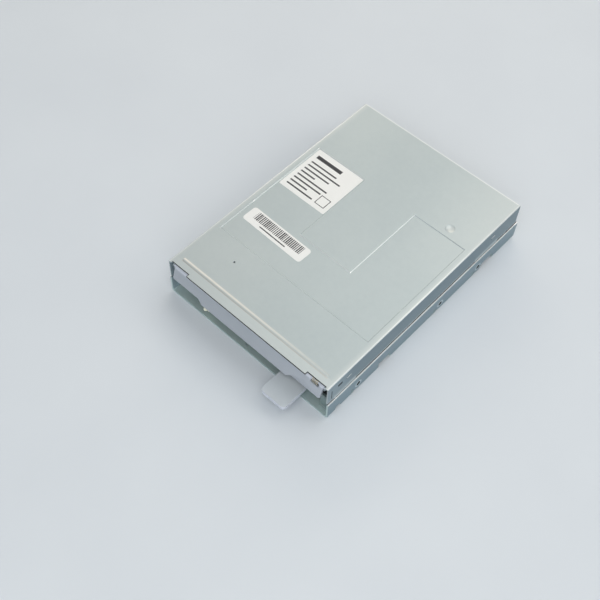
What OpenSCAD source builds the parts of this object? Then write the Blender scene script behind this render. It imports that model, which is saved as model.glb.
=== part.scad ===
// Slim 3.5 inch floppy disk drive without a front bezel.
// X runs to the right, Y from the front edge to the back and Z up from the underside.
// The origin is the middle of the lower front edge.

/* [Case] */
// Width over the chassis side walls
case_w = 101.6; // [101.6:0.1:105]
// Depth of the chassis from front edge to rear wall
case_d = 142.2; // [142.2:0.2:148]
// Height from the underside to the top of the cover bead
case_h = 25.4; // [25.4:0.1:27]
// Thickness of the chassis sheet
chassis_t = 1; // [0.8:0.1:1.1]
// Height of the chassis side walls
wall_h = 11.6; // [11:0.1:12]
// Height of the chassis rear wall
rear_wall_h = 10.6; // [9:0.1:11]
// Thickness of the cover sheet
cover_t = 0.6; // [0.5:0.05:0.65]
// Gap between the wall tops and the cover skirts
skirt_gap = 0.8; // [0.5:0.1:1.2]
// Step from the wall face in to the cover skirt
skirt_inset = 0.7; // [0.4:0.05:0.75]
// Length by which the cover stops short of the rear wall
cover_short = 1.2; // [1.1:0.1:2]

/* [Cover pressings] */
// Height of the stiffening bead along the front
bead_h = 0.3; // [0.2:0.05:0.4]
// Width of the bead
bead_w = 2; // [1.5:0.1:2.6]
// Length of the bead between its round ends
bead_l = 89.4; // [80:0.2:92]
// Distance of the bead from the front edge
bead_y = 5.2; // [4:0.1:8]
// Depth of the sunk panel
panel_depth = 0.3; // [0.2:0.05:0.4]
// Width of the sunk panel
panel_w = 92.9; // [88:0.1:95]
// Front edge of the sunk panel
panel_y = 30.4; // [26:0.1:34]
// Length of the sunk panel
panel_l = 70.3; // [69:0.1:73]
// Length of the undivided front part of the panel
panel_base_l = 22.8; // [20:0.1:26]
// Width of the tongue left standing in the panel
tongue_w = 32; // [28:0.2:33]
// Diameter of the round dimple
dimple_d = 5; // [4:0.1:6]
// Depth of the round dimple
dimple_depth = 0.5; // [0.3:0.05:0.6]
// Width of the front tab over the door
front_tab_w = 74.6; // [70:0.2:76]
// Reach of the front tab past the front edge
front_tab_out = 0.8; // [0.5:0.1:1.2]
// Width between the cover's front corners
hinge_notch_w = 96.6; // [96.2:0.1:97.4]
// Depth of the notches beside the front tab
hinge_notch = 0.8; // [0.5:0.1:1]

/* [Labels] */
// Width of the square label
label_w = 29.4; // [24:0.2:29.6]
// Length of the square label
label_l = 30.2; // [24:0.2:32]
// Width of the bar label
bar_label_w = 38.2; // [30:0.2:40]
// Length of the bar label
bar_label_l = 9.2; // [7:0.1:11]
// Thickness of the label film
label_t = 0.1; // [0.08:0.01:0.2]

/* [Mounting holes] */
// Tapped hole diameter for M3 screws
tap_d = 2.5; // [2.4:0.05:2.6]
// Height of the side holes above the underside
side_hole_z = 5; // [4.6:0.1:5.4]
// Distance of the first side hole from the front
side_hole_y = 21; // [20.5:0.1:21.5]
// Spacing from the first to the second side hole
side_pitch_mid = 60; // [59:0.1:61]
// Spacing from the first to the third side hole
side_pitch_far = 90; // [89:0.1:91]
// Spacing of the bottom holes across the width
bottom_pitch_w = 70; // [69:0.1:71]
// Distance of the first bottom holes from the front
bottom_hole_y = 31; // [30:0.1:32]
// Spacing of the bottom holes along the depth
bottom_pitch_l = 40; // [39:0.1:41]

/* [Dust door] */
// Width of the door flap
door_w = 93.2; // [92:0.1:93.4]
// Length of the flap in its middle
door_l = 9.6; // [9:0.1:9.8]
// Length of the flap at its ends
door_end_l = 7.5; // [7:0.1:8]
// Thickness of the flap
door_t = 1.2; // [0.9:0.05:1.3]
// Lean of the closed flap, lower edge forward
door_tilt = 17; // [12:0.5:20]
// Diameter of the door pivots
door_pin_d = 1.8; // [1.6:0.05:2]
// Height of the hinge line
hinge_z = 22.4; // [22:0.1:22.6]

/* [Eject button] */
// Width of the button paddle
button_w = 14.3; // [12:0.1:14.4]
// Reach of the paddle past the front edge
button_out = 13.3; // [10:0.1:16]
// Thickness of the paddle
button_t = 2.6; // [2:0.1:3]
// Height of the paddle's upper face
button_top = 9; // [8.4:0.1:9.6]
// Travel of the slide plate and button
eject_travel = 5; // [4.5:0.1:5]

/* [Disk carrier] */
// Clear width for the disk
carrier_in_w = 91.2; // [90.6:0.1:91.4]
// Clear height for the disk
carrier_in_h = 4.3; // [4.2:0.05:4.4]
// Height of the disk ledges with the carrier raised
ledge_z = 14.6; // [14.4:0.1:14.8]
// Thickness of the carrier sheet
carrier_t = 0.6; // [0.5:0.05:0.65]
// Drop of the carrier when a disk loads
carrier_drop = 3; // [2.6:0.1:3.2]
// Diameter of the carrier pins
carrier_pin_d = 2; // [1.8:0.05:2.2]

/* [Spindle] */
// Distance of the spindle from the front edge
spindle_y = 58; // [57.5:0.1:58.5]
// Diameter of the spindle shaft
shaft_d = 3.8; // [3.4:0.1:4]
// Outer diameter of the rotor cup
rotor_d = 45.2; // [43:0.2:46]
// Diameter of the chucking hub
hub_d = 26.4; // [24:0.2:27]
// Number of stator teeth
teeth = 9; // [6:3:9]

/* [Heads] */
// Stroke of the head carriage over its tracks
head_travel = 14.8; // [14:0.1:15]
// Radius of the outermost track
outer_track = 39.5; // [39.2:0.1:39.8]
// Diameter of the guide rod
rod_d = 3; // [2.6:0.1:3.2]
// Diameter of the lead screw
screw_d = 3; // [2.6:0.1:3.2]
// Diameter of the stepper motor can
stepper_d = 14.8; // [13:0.1:15]
// Angle by which the upper head is lifted at rest
arm_lift = 15.5; // [14.5:0.1:15.6]

/* [Boards] */
// Thickness of the circuit boards
board_t = 1.2; // [0.8:0.1:1.2]
// Height of the circuit boards above the chassis floor
board_gap = 1; // [0.9:0.1:1.1]

/* [Running fits] */
// Radial clearance of shafts and plungers in their bores
run_clear = 0.05; // [0.03:0.01:0.08]
// Gap between fixed pieces that seat on each other
seat_clear = 0.02; // [0.01:0.01:0.04]

/* [Hidden] */
$fn = 48;
past = 1;

// Colours of the finishes
steel = "#a9b5b6";
zinc = "#b9c2c1";
plastic = "#a4a8b2";
brass = "#b08d4c";
board_green = "#4f7a52";
black_plastic = "#2b2c2e";

// Chassis planes
half_w = case_w / 2;
wall_in = half_w - chassis_t;
floor_z = chassis_t;
bend_r = 1.4;
rear_in = case_d - chassis_t;
side_holes = [side_hole_y, side_hole_y + side_pitch_mid, side_hole_y + side_pitch_far];
collar_r = tap_d / 2 + 0.9;
collar_h = 0.9;
foot_cut_in = 2.4;

// Cover planes
cover_top = case_h - bead_h;
cover_under = cover_top - cover_t;
cover_half = half_w - skirt_inset;
cover_in = cover_half - cover_t;
cover_d = case_d - cover_short;
skirt_z = wall_h + skirt_gap;
panel_top = cover_top - panel_depth;

// Boards stand on bosses pressed up from the chassis floor
board_z = floor_z + board_gap;
board_top = board_z + board_t;
self_tap_r = 0.9;
screw_r = 0.86;
screw_clear_r = 1.2;
screw_head_r = 1.9;
screw_head_h = 1.1;

// Hinge of the dust door
hinge_y = 1.6;
door_pin_r = door_pin_d / 2;
barrel_r = 1.2;
door_face = 1;
pivot_gap = 0.4;
ear_x = door_w / 2 + pivot_gap;
spring_bay = [door_w / 2 - 7, door_w / 2 - 2.2];

// Carrier, its pins and the slide plate beside it
carrier_y = [11.8, 98];
carrier_half = carrier_in_w / 2 + carrier_t;
ledge_w = 3.6;
carrier_roof = ledge_z + carrier_in_h;
carrier_top = carrier_roof + carrier_t;
carrier_pin_r = carrier_pin_d / 2;
carrier_pin_y = [32, 68];
carrier_pin_z = ledge_z + 2.6;
body_gap = 0.6;
slide_t = 0.8;
slide_x = carrier_half + body_gap;
slide_out = slide_x + slide_t;
guide_x = slide_out + 0.5;
guide_t = 0.8;
slide_z = floor_z + 2.6;
slide_top = slide_z + slide_t;
slide_y = [14, carrier_y[1] - 8];
pad_h = slide_z - floor_z - 0.1;
guide_pin_x = slide_out - 6.6;
guide_pin_y = [50, slide_y[1] - 6];
guide_pin_r = 1.5;
slide_spring_x = slide_out - 8.6;
spring_post_y = 20;
spring_post_r = 1.1;
spring_hook_y = 45;
slide_spring_z = slide_top + 2.2;

// Shutter lever on the carrier roof
lever_pivot = [carrier_half - 6.2, carrier_y[1] - 10];
lever_reach = 22.2;
lever_rest = 216;
lever_swing = 46;
lever_z = carrier_top + 0.3;
lever_t = 0.8;
rivet_r = 1.5;
finger_r = 1.2;

// Spindle stack, from the floor up
bush_r = 4;
bush_top = 7.2;
core_z = [4.4, 6.4];
coil_over = 0.9;
rotor_roof = 7.6;
rotor_t = 0.8;
rotor_r = rotor_d / 2;
magnet_t = 2.1;
hub_z = rotor_roof + rotor_t;
hub_h = 1.8;
chuck_h = 1.1;
drive_pin_at = 9.5;
drive_pin_r = 1.1;

// Head carriage and its drive
head_y = spindle_y + outer_track;
rod_x0 = 14;
rod_z0 = 8;
rod_r = rod_d / 2;
screw_x = -16;
screw_z = 9;
lead_r = screw_d / 2;
carriage_y = [head_y + 6.5, head_y + 26.5];
clamp_y = [[head_y - 17.9, head_y - 14.9], [carriage_y[1] + 1.4, carriage_y[1] + 4.4]];
carriage_z = [5.2, 10.5];
nose_half = 5;
nose_z = [9, 10.6];
pivot_y = carriage_y[1] - 2;
pivot_z = 16.4;
pivot_r = 0.9;
arm_half = 4.6;
ear_half = [5.2, 6.6];
bracket_y = [head_y - 18.7, carriage_y[1] - 5.4];
follower_y = [bracket_y[1] - 10.6, bracket_y[1] - 4.6];
bracket_t = 1;
stepper_r = stepper_d / 2;
stepper_l = 11.8;
tip_r = 1;

// Main board and its connectors
main_half = half_w - 4.8;
main_y = [case_d - 42.2, case_d - 1.6];
main_cut_x = [-28, 24];
main_cut_y = carriage_y[1] + 7;
data_x = -14;
data_z = [board_top, board_top + 9];
data_y = [case_d - 10.2, case_d - 0.6];
data_wall = 1.4;
pin_pitch = 2.54;
pin_w = 0.64;
pins_per_row = 17;
data_w = (pins_per_row - 1) * pin_pitch + pin_w + 2 * (data_wall + 0.96);
power_x = 30;
power_h = 6.4;
power_y = [case_d - 9.2, case_d - 0.6];
power_pitch = 2.5;
power_wall = 1.1;
power_w = 3 * power_pitch + pin_w + 2 * (power_wall + 1.53);
socket_x = [data_x + data_w / 2 + 1.5, power_x - power_w / 2 - 2.8];
cable_x = [socket_x[0] + 2, socket_x[1] - 2.2];
cable_t = 0.2;
cable_y = [carriage_y[1] - 5, carriage_y[1] + 9];

// Sensing switches and the lamp on the front strip of the motor board
strip_y = [4.8, 9];
switch_y = 6.9;
switch_size = [6, 3.6, 5.4];
switch_x = [-main_half + 4.5, main_half - 4.5, -main_half + 11.5];
plunger_r = 0.8;
plunger_top = ledge_z - 2.2;
led_x = -half_w + 23.3;
led_z = 6.6;
led_r = 1.1;
led_tip_y = -0.4;

// Box between two corners, given as pairs along each axis
module span(x, y, z)
    translate([x[0], y[0], z[0]]) cube([x[1] - x[0], y[1] - y[0], z[1] - z[0]]);

// A shape and its mirror image across the drive's middle plane
module both_sides() {
    children();
    mirror([1, 0, 0]) children();
}

// Round bars along each axis
module bar_x(x, r, y, z) translate([x[0], y, z]) rotate([0, 90, 0]) cylinder(h = x[1] - x[0], r = r);
module bar_y(y, r, x, z) translate([x, y[0], z]) rotate([-90, 0, 0]) cylinder(h = y[1] - y[0], r = r);
module bar_z(z, r, x, y) translate([x, y, z[0]]) cylinder(h = z[1] - z[0], r = r);

// Tube along Z between two radii
module ring_z(z, r_out, r_in, x, y) difference() {
    bar_z(z, r_out, x, y);
    bar_z([z[0] - past, z[1] + past], r_in, x, y);
}

// Flat shapes pushed along an axis: drawn in Y and Z, or in X and Z
module push_x(x) translate([x[0], 0, 0]) rotate([90, 0, 90]) linear_extrude(x[1] - x[0]) children();
module push_y(y) translate([0, y[1], 0]) rotate([90, 0, 0]) linear_extrude(y[1] - y[0]) children();

// Rectangle with round corners, centred
module round_rect(w, l, r) {
    square([w - 2 * r, l], center = true);
    square([w, l - 2 * r], center = true);
    for (x = [-1, 1], y = [-1, 1]) translate([x * (w / 2 - r), y * (l / 2 - r)]) circle(r);
}

// Rectangle standing on the X axis with its two lower corners rounded
module trough(w, h, r) {
    translate([-w / 2, r]) square([w, h - r]);
    translate([-w / 2 + r, 0]) square([w - 2 * r, r]);
    for (x = [-1, 1]) translate([x * (w / 2 - r), r]) circle(r);
}

// Sheet folded into a trough
module folded(w, h, t, r) difference() {
    trough(w, h, r);
    translate([0, t]) trough(w - 2 * t, h, r - t);
}

// Slot from one point to another in the plane; its sides lie a hair inside the round ends
slot_side = 0.99;

module slot_2d(from, to, r) {
    run = to - from;
    for (p = [from, to]) translate(p) circle(r);
    translate(from) rotate(atan2(run[1], run[0])) translate([0, -slot_side * r])
        square([norm(run), 2 * slot_side * r]);
}

// Pan-head screw, head upward, with its head seated at z
module screw(x, y, z, grip) {
    bar_z([z, z + screw_head_h], screw_head_r, x, y);
    bar_z([z - grip, z], screw_r, x, y);
}

// Wire springs: each station is a point, its outward normal and its direction
wire_sides = 6;
rings_per_turn = 8;

function coil_station(a, r, pitch) = [
    [r * cos(a), r * sin(a), pitch * a / 360],
    [cos(a), sin(a), 0],
    [-sin(a), cos(a), pitch / (360 * r) * 180 / PI]
];

// Coil of whole turns with a straight leg at each end
function torsion_path(turns, r, pitch, legs) = concat(
    [for (k = [1, 0.5]) [[r, -k * legs[0], 0], [1, 0, 0], [0, 1, 0]]],
    [for (i = [0:turns * rings_per_turn]) coil_station(360 * i / rings_per_turn, r, pitch)],
    [for (k = [0.5, 1]) [[r, k * legs[1], turns * pitch], [1, 0, 0], [0, 1, 0]]]
);

// Coil of whole turns with straight ends along its axis
function tension_path(turns, r, pitch, lead) = concat(
    [for (k = [-2, -1]) [[r, 0, (k + 0.8) * lead], [1, 0, 0], [0, 0, 1]]],
    [for (i = [0:turns * rings_per_turn]) coil_station(360 * i / rings_per_turn, r, pitch)],
    [for (k = [1, 2]) [[r, 0, turns * pitch + (k - 0.8) * lead], [1, 0, 0], [0, 0, 1]]]
);

function unit(v) = v / norm(v);

function wire_points(path, wire_r) = [
    for (s = path) let (n = s[1], b = cross(unit(s[2]), n))
        for (k = [0:wire_sides - 1]) let (a = 360 * k / wire_sides)
            s[0] + wire_r * (cos(a) * n + sin(a) * b)
];

function wire_faces(rings) = let (last = (rings - 1) * wire_sides) concat(
    [for (i = [0:rings - 2], k = [0:wire_sides - 1])
        let (a = i * wire_sides + k, b = i * wire_sides + (k + 1) % wire_sides)
            each [[a, b, a + wire_sides], [b, b + wire_sides, a + wire_sides]]],
    [for (k = [1:wire_sides - 2]) [0, k + 1, k]],
    [for (k = [1:wire_sides - 2]) [last, last + k, last + k + 1]]
);

// Least gap between neighbouring turns, on the wire's centre line
function self_gap(path, wire_r) = min([
    for (i = [0:len(path) - 1], j = [i + rings_per_turn:1:len(path) - 1]) norm(path[i][0] - path[j][0])
]) - 2 * wire_r;

module wire(name, path, wire_r) {
    echo(name, least_gap = self_gap(path, wire_r));
    polyhedron(wire_points(path, wire_r), wire_faces(len(path)), convexity = 10);
}

// Chassis tray: outline of the openings cut up into each lower wall edge, drawn in Y and Z
module foot_cuts() {
    polygon([[4.5, -past], [4.5, 0], [6, 3.2], [8.3, 3.2], [9.5, 0], [9.5, -past]]);
    polygon([[35.4, -past], [35.4, 4.8], [43.9, 4.4], [44.5, 0], [44.5, -past]]);
    translate([side_holes[2], 0])
        polygon([[-3.3, -past], [-2.6, 1.2], [1.8, 1.2], [3.6, 4.6], [12.2, 4.6], [13.2, 0], [13.2, -past]]);
    for (y = side_holes) {
        translate([y - 4.4, -past]) square([0.7, 4.9 + past]);
        polygon([[y - 3.7, -past], [y - 3.1, 2], [y - 1.6, 2], [y + 2.3, 0], [y + 2.3, -past]]);
    }
    polygon([[case_d - 1.5, -past], [case_d - 1.5, 0], [case_d, 1.6], [case_d + past, 1.6], [case_d + past, -past]]);
}

module board_bosses(hole) {
    for (p = concat(motor_board_screws, main_board_screws)) {
        if (hole) bar_z([-past, board_z + past], self_tap_r, p[0], p[1]);
        else bar_z([floor_z, board_z], screw_head_r + 0.6, p[0], p[1]);
    }
}

motor_board_screws = [[-26.5, 33.5], [26.5, 33.5], [-26.5, 75], [26.5, 75]];
main_board_screws = [for (x = [-1, 1], y = [main_y[0] + 2.8, main_y[1] - 2.8]) [x * (main_half - 2.7), y]];
bracket_screw_at = concat(
    [[screw_x, bracket_y[0] + 7.2], [screw_x, follower_y[0]]],
    [for (y = clamp_y) [rod_x0 - 6.4, (y[0] + y[1]) / 2]]
);
bottom_holes = [for (x = [-0.5, 0.5], y = [0, 1]) [x * bottom_pitch_w, bottom_hole_y + y * bottom_pitch_l]];

module chassis() color(steel) difference() {
    union() {
        push_y([0, case_d]) folded(case_w, wall_h, chassis_t, bend_r);
        span([-wall_in, wall_in], [rear_in, case_d], [floor_z / 2, rear_wall_h]);
        both_sides() for (y = side_holes) bar_x([wall_in - collar_h, wall_in + chassis_t / 2], collar_r, y, side_hole_z);
        for (p = bottom_holes) bar_z([floor_z / 2, floor_z + collar_h], collar_r, p[0], p[1]);
        board_bosses(false);
        for (x = [main_half - 2, 20], s = [-1, 1]) bar_z([floor_z, board_z], 1.8, s * x, switch_y);
        both_sides() {
            for (y = guide_pin_y) bar_z([floor_z, floor_z + pad_h], 3, guide_pin_x, y);
            bar_z([floor_z, floor_z + pad_h], 2.5, 15, slide_y[0] + 5);
            bar_z([floor_z, slide_spring_z + 1.4], spring_post_r, slide_spring_x, spring_post_y);
            bar_z([slide_spring_z + 0.8, slide_spring_z + 1.4], spring_post_r + 0.5, slide_spring_x, spring_post_y);
        }
    }
    both_sides() {
        push_x([wall_in - foot_cut_in, half_w + past]) foot_cuts();
        for (y = side_holes) bar_x([wall_in - collar_h - past, half_w + past], tap_d / 2, y, side_hole_z);
    }
    for (p = bottom_holes) bar_z([-past, floor_z + collar_h + past], tap_d / 2, p[0], p[1]);
    board_bosses(true);
    for (p = bracket_screw_at) bar_z([-past, floor_z + past], self_tap_r, p[0], p[1]);
    span([data_x - data_w / 2 - 0.6, data_x + data_w / 2 + 0.6], [rear_in - past, case_d + past],
        [board_top - 0.4, rear_wall_h + past]);
    span([power_x - power_w / 2 - 0.6, power_x + power_w / 2 + 0.6], [rear_in - past, case_d + past],
        [board_top - 0.4, rear_wall_h + past]);
    bar_z([-past, floor_z + past], 0.6, -2, 2.4);
}

// Cover: the sunk panel is a U with a standing tongue between its arms
module panel_2d(grow) difference() {
    translate([0, panel_y + panel_l / 2]) round_rect(panel_w + 2 * grow, panel_l + 2 * grow, 1.5);
    translate([-tongue_w / 2 + grow, panel_y + panel_base_l + grow])
        square([tongue_w - 2 * grow, panel_l - panel_base_l + past]);
}

// The panel's sides slope: how far they stand out from its outline at a height
panel_edge = 0.4;
panel_z = [panel_top, cover_top + past];
panel_out = [for (z = panel_z) panel_edge * ((z - panel_top) / panel_depth - 0.5)];

module panel_cut() difference() {
    intersection() {
        push_y([panel_y - panel_edge, panel_y + panel_l + panel_edge]) polygon([
            [-panel_w / 2 - panel_out[0], panel_z[0]], [panel_w / 2 + panel_out[0], panel_z[0]],
            [panel_w / 2 + panel_out[1], panel_z[1]], [-panel_w / 2 - panel_out[1], panel_z[1]]
        ]);
        push_x([-half_w, half_w]) polygon([
            [panel_y - panel_out[0], panel_z[0]], [panel_y + panel_l + panel_out[0], panel_z[0]],
            [panel_y + panel_l + panel_out[1], panel_z[1]], [panel_y - panel_out[1], panel_z[1]]
        ]);
    }
    intersection() {
        push_y([panel_y + panel_base_l - panel_edge, panel_y + panel_l + 2 * panel_edge]) polygon([
            [-tongue_w / 2 + panel_out[0], panel_z[0] - past], [tongue_w / 2 - panel_out[0], panel_z[0] - past],
            [tongue_w / 2 - panel_out[0], panel_z[0]], [tongue_w / 2 - panel_out[1], panel_z[1]],
            [-tongue_w / 2 + panel_out[1], panel_z[1]], [-tongue_w / 2 + panel_out[0], panel_z[0]]
        ]);
        push_x([-tongue_w, tongue_w]) polygon([
            [panel_y + panel_base_l + panel_out[0], panel_z[0] - past], [panel_y + panel_l + past, panel_z[0] - past],
            [panel_y + panel_l + past, panel_z[1] + past], [panel_y + panel_base_l + panel_out[1], panel_z[1] + past],
            [panel_y + panel_base_l + panel_out[1], panel_z[1]], [panel_y + panel_base_l + panel_out[0], panel_z[0]]
        ]);
    }
}

dimple_at = [panel_w / 2 - 12.75, cover_d - 35.1];
dimple_r = (dimple_d * dimple_d / 4 + dimple_depth * dimple_depth) / (2 * dimple_depth);
bead_r = (bead_w * bead_w / 4 + bead_h * bead_h) / (2 * bead_h);
lip_spans = [[4, 19], [cover_d - 34, cover_d - 16]];
grip_spans = [[7, 13], [48, 60], [cover_d - 49, cover_d - 39]];
press_spans = [[12.5, 15.5], [cover_d - 22.5, cover_d - 19.5]];
lip_h = 3.2;
lip_out = 0.2;
cover_bend_r = cover_t + 0.15;

module bead() intersection() {
    union() {
        bar_x([-bead_l / 2, bead_l / 2], bead_r, bead_y, case_h - bead_r);
        for (x = [-1, 1]) translate([x * bead_l / 2, bead_y, case_h - bead_r]) sphere(bead_r);
    }
    span([-half_w, half_w], [bead_y - bead_w, bead_y + bead_w], [cover_top - cover_t / 2, case_h + past]);
}

// Flared strip at the foot of a skirt
module skirt_lip(y) push_y(y) polygon([
    [cover_in, skirt_z + lip_h], [cover_half, skirt_z + lip_h],
    [cover_half + lip_out, skirt_z], [cover_half + lip_out - cover_t, skirt_z]
]);

// Spring tongue of the cover that grips the inside of the chassis wall
module skirt_grip(y) {
    span([wall_in - seat_clear - cover_t, wall_in - seat_clear], y, [wall_h - 3, skirt_z + 1.2]);
    span([wall_in - seat_clear - cover_t, cover_half], y, [skirt_z + 0.2, skirt_z + 1.2]);
}

module top_cover() color(zinc) difference() {
    union() {
        translate([0, 0, cover_top]) mirror([0, 0, 1]) push_y([0, cover_d])
            folded(2 * cover_half, cover_top - skirt_z, cover_t, cover_bend_r);
        span([-front_tab_w / 2, front_tab_w / 2], [-front_tab_out, hinge_notch], [cover_under, cover_top]);
        span([-cover_in, cover_in], [cover_d - cover_t, cover_d], [skirt_z + 0.4, cover_under + cover_t / 2]);
        bead();
        translate([0, 0, panel_top - cover_t]) linear_extrude(cover_t - (cover_top - panel_top) + 0.01) panel_2d(0.4);
        bar_z([cover_under - dimple_depth, cover_top], dimple_d / 2 + 0.6, dimple_at[0], dimple_at[1]);
        both_sides() {
            span([ear_x, ear_x + cover_t], [hinge_notch, hinge_y + 2.2], [hinge_z - 2, cover_under + cover_t / 2]);
            for (y = lip_spans) skirt_lip(y);
            for (y = grip_spans) skirt_grip(y);
            for (y = press_spans) span([cover_half - 0.1, cover_half + 0.2], y, [19.4, 20.2]);
        }
    }
    panel_cut();
    translate([dimple_at[0], dimple_at[1], cover_top + dimple_r - dimple_depth]) sphere(dimple_r);
    bar_z([panel_top - cover_t - past, case_h], 0.5, -27.1, 20.3);
    both_sides() {
        span([front_tab_w / 2, hinge_notch_w / 2], [-past, hinge_notch], [cover_under - past, cover_top + past]);
        bar_x([ear_x - past, ear_x + cover_t + past], door_pin_r + run_clear, hinge_y, hinge_z);
        span([cover_in - past, half_w + past], [2.6, 3], [14.3, 20.9]);
        span([cover_in - past, half_w + past], [6.8, 9.6], [19.7, 21]);
    }
}

// Stickers lying in the sunk panel
label_at = [-panel_w / 2 + 15.35, panel_y + panel_l - 15.5];
bar_label_at = [-panel_w / 2 + 22.15, panel_y + 15.6];
bar_label_tilt = -1.6;

module rating_label() color("#e6e7e4") translate([label_at[0], label_at[1], panel_top])
    linear_extrude(label_t) round_rect(label_w, label_l, 0.8);

module bar_label() color("#e6e7e4") translate([bar_label_at[0], bar_label_at[1], panel_top])
    rotate(bar_label_tilt) linear_extrude(label_t) round_rect(bar_label_w, bar_label_l, 1.6);

// Dust door: drawn hanging straight down from the hinge line, then leaned forward
jog_x = [door_w / 2 - 17.1, door_w / 2 - 19.6];

module door_outline() {
    translate([0, -door_end_l]) trough(door_w, door_end_l, 1);
    polygon([
        [-jog_x[0], -door_end_l], [-jog_x[1], -door_l], [jog_x[1], -door_l], [jog_x[0], -door_end_l],
        [jog_x[0], -1], [-jog_x[0], -1]
    ]);
}

module dust_door() color(plastic) translate([0, hinge_y, hinge_z]) rotate([-door_tilt, 0, 0]) {
    difference() {
        union() {
            push_y([-door_face, door_t - door_face]) door_outline();
            bar_x([-door_w / 2, door_w / 2], barrel_r, 0, 0);
        }
        span(spring_bay, [-barrel_r - past, barrel_r + past], [-2.1, barrel_r + past]);
    }
    bar_x([-door_w / 2 - pivot_gap - cover_t - 0.3, door_w / 2 + pivot_gap + cover_t + 0.3], door_pin_r, 0, 0);
}

// Torsion spring round the right-hand end of the door's hinge line
door_spring_r = door_pin_r + 0.6;
door_wire_r = 0.2;
door_spring_turns = 4;
door_spring_pitch = 0.9;

// One leg lies on the door's back, the other under the cover
door_leg_at = [door_t - door_face + door_wire_r + 0.1, -3];
door_leg_turn = atan2(door_leg_at[1], door_leg_at[0]) + acos(door_spring_r / norm(door_leg_at)) - door_tilt;
door_leg = sqrt(door_leg_at * door_leg_at - door_spring_r * door_spring_r);
cover_leg = (cover_under - hinge_z - door_wire_r - 0.05 - door_spring_r * sin(door_leg_turn)) / cos(door_leg_turn);

module door_spring() color(brass)
    translate([(spring_bay[0] + spring_bay[1] - door_spring_turns * door_spring_pitch) / 2, hinge_y, hinge_z])
    rotate([90, 0, 90]) rotate(door_leg_turn)
    wire("door_spring", torsion_path(door_spring_turns, door_spring_r, door_spring_pitch, [door_leg, cover_leg]),
        door_wire_r);

// Eject button: paddle, neck and the block clipped to the slide plate
button_x = half_w - 21.55;
button_block_y = [7, 13.6];
button_round = 1.8;

module eject_button() color(plastic) {
    translate([button_x, (3 - button_out) / 2, button_top - button_t])
        linear_extrude(button_t) round_rect(button_w, button_out + 3, button_round);
    span([button_x - 5, button_x + 5], [2, button_block_y[0] + 1], [button_top - button_t, button_top]);
    span([button_x - 6, button_x + 6], button_block_y, [slide_top, button_top]);
}

// Slide plate: base strips and two side walls with sloping cam slots for the carrier pins
slide_inner = slide_out - 11.6;
slide_front_ext = [button_x - 8.15, button_x + 6.65];

module cam_slots() for (y = carrier_pin_y)
    slot_2d([y, carrier_pin_z], [y + eject_travel, carrier_pin_z - carrier_drop], carrier_pin_r + 0.1);

module eject_slide() color(zinc) difference() {
    union() {
        span([-slide_out, slide_out], [slide_y[0], slide_y[0] + 10], [slide_z, slide_top]);
        span(slide_front_ext, [6, slide_y[0] + past], [slide_z, slide_top]);
        both_sides() {
            span([slide_inner, slide_out], slide_y, [slide_z, slide_top]);
            span([slide_x, slide_out], [slide_y[0] + 2, slide_y[1]], [slide_z, carrier_top]);
            span([slide_spring_x - 0.6, slide_spring_x + 0.6], [spring_hook_y, spring_hook_y + 1.4],
                [slide_top - 0.1, slide_spring_z + 1.4]);
        }
    }
    both_sides() {
        push_x([slide_x - past, slide_out + past]) cam_slots();
        for (y = guide_pin_y) translate([0, 0, slide_z - past]) linear_extrude(slide_t + 2 * past)
            slot_2d([guide_pin_x, y], [guide_pin_x, y + eject_travel], guide_pin_r + 0.15);
        span([slide_spring_x - spring_post_r - 0.6, slide_spring_x + spring_post_r + 0.6],
            [spring_post_y - spring_post_r - 0.6, spring_post_y + spring_post_r + eject_travel + 0.6],
            [slide_z - past, slide_top + past]);
    }
}

module slide_guide_pins() color("#c9ccd0") both_sides() for (y = guide_pin_y) {
    bar_z([floor_z + pad_h, slide_top + 0.3], guide_pin_r, guide_pin_x, y);
    bar_z([slide_top + 0.2, slide_top + 0.9], guide_pin_r + 1.1, guide_pin_x, y);
}

// Tension springs that draw the slide plate forward
slide_spring_r = 1.5;
slide_wire_r = 0.25;
slide_spring_turns = 14;
slide_spring_lead = 0.9;
slide_spring_from = spring_post_y + spring_post_r + seat_clear;
slide_spring_pitch = (spring_hook_y - slide_spring_from - 2.4 * slide_spring_lead - seat_clear) / slide_spring_turns;

module slide_spring(side) color("#9aa0a6")
    translate([side * slide_spring_x, slide_spring_from + 1.2 * slide_spring_lead, slide_spring_z])
    rotate([-90, 0, 0]) rotate(90)
    translate([-slide_spring_r, 0, 0])
    wire("slide_spring", tension_path(slide_spring_turns, slide_spring_r, slide_spring_pitch, slide_spring_lead),
        slide_wire_r);

module left_slide_spring() slide_spring(-1);
module right_slide_spring() slide_spring(1);

// Disk carrier: roof, side walls and in-turned ledges, open at front and back
head_window = 12;

module lever_arc() intersection() {
    difference() {
        circle(lever_reach + finger_r + 0.4);
        circle(lever_reach - finger_r - 0.4);
    }
    polygon([for (k = [-1, 0, 1, 2]) k < 0 ? [0, 0] : let (a = lever_rest + 5 - k * (lever_swing + 10) / 2)
        2 * lever_reach * [cos(a), sin(a)]]);
}

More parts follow.
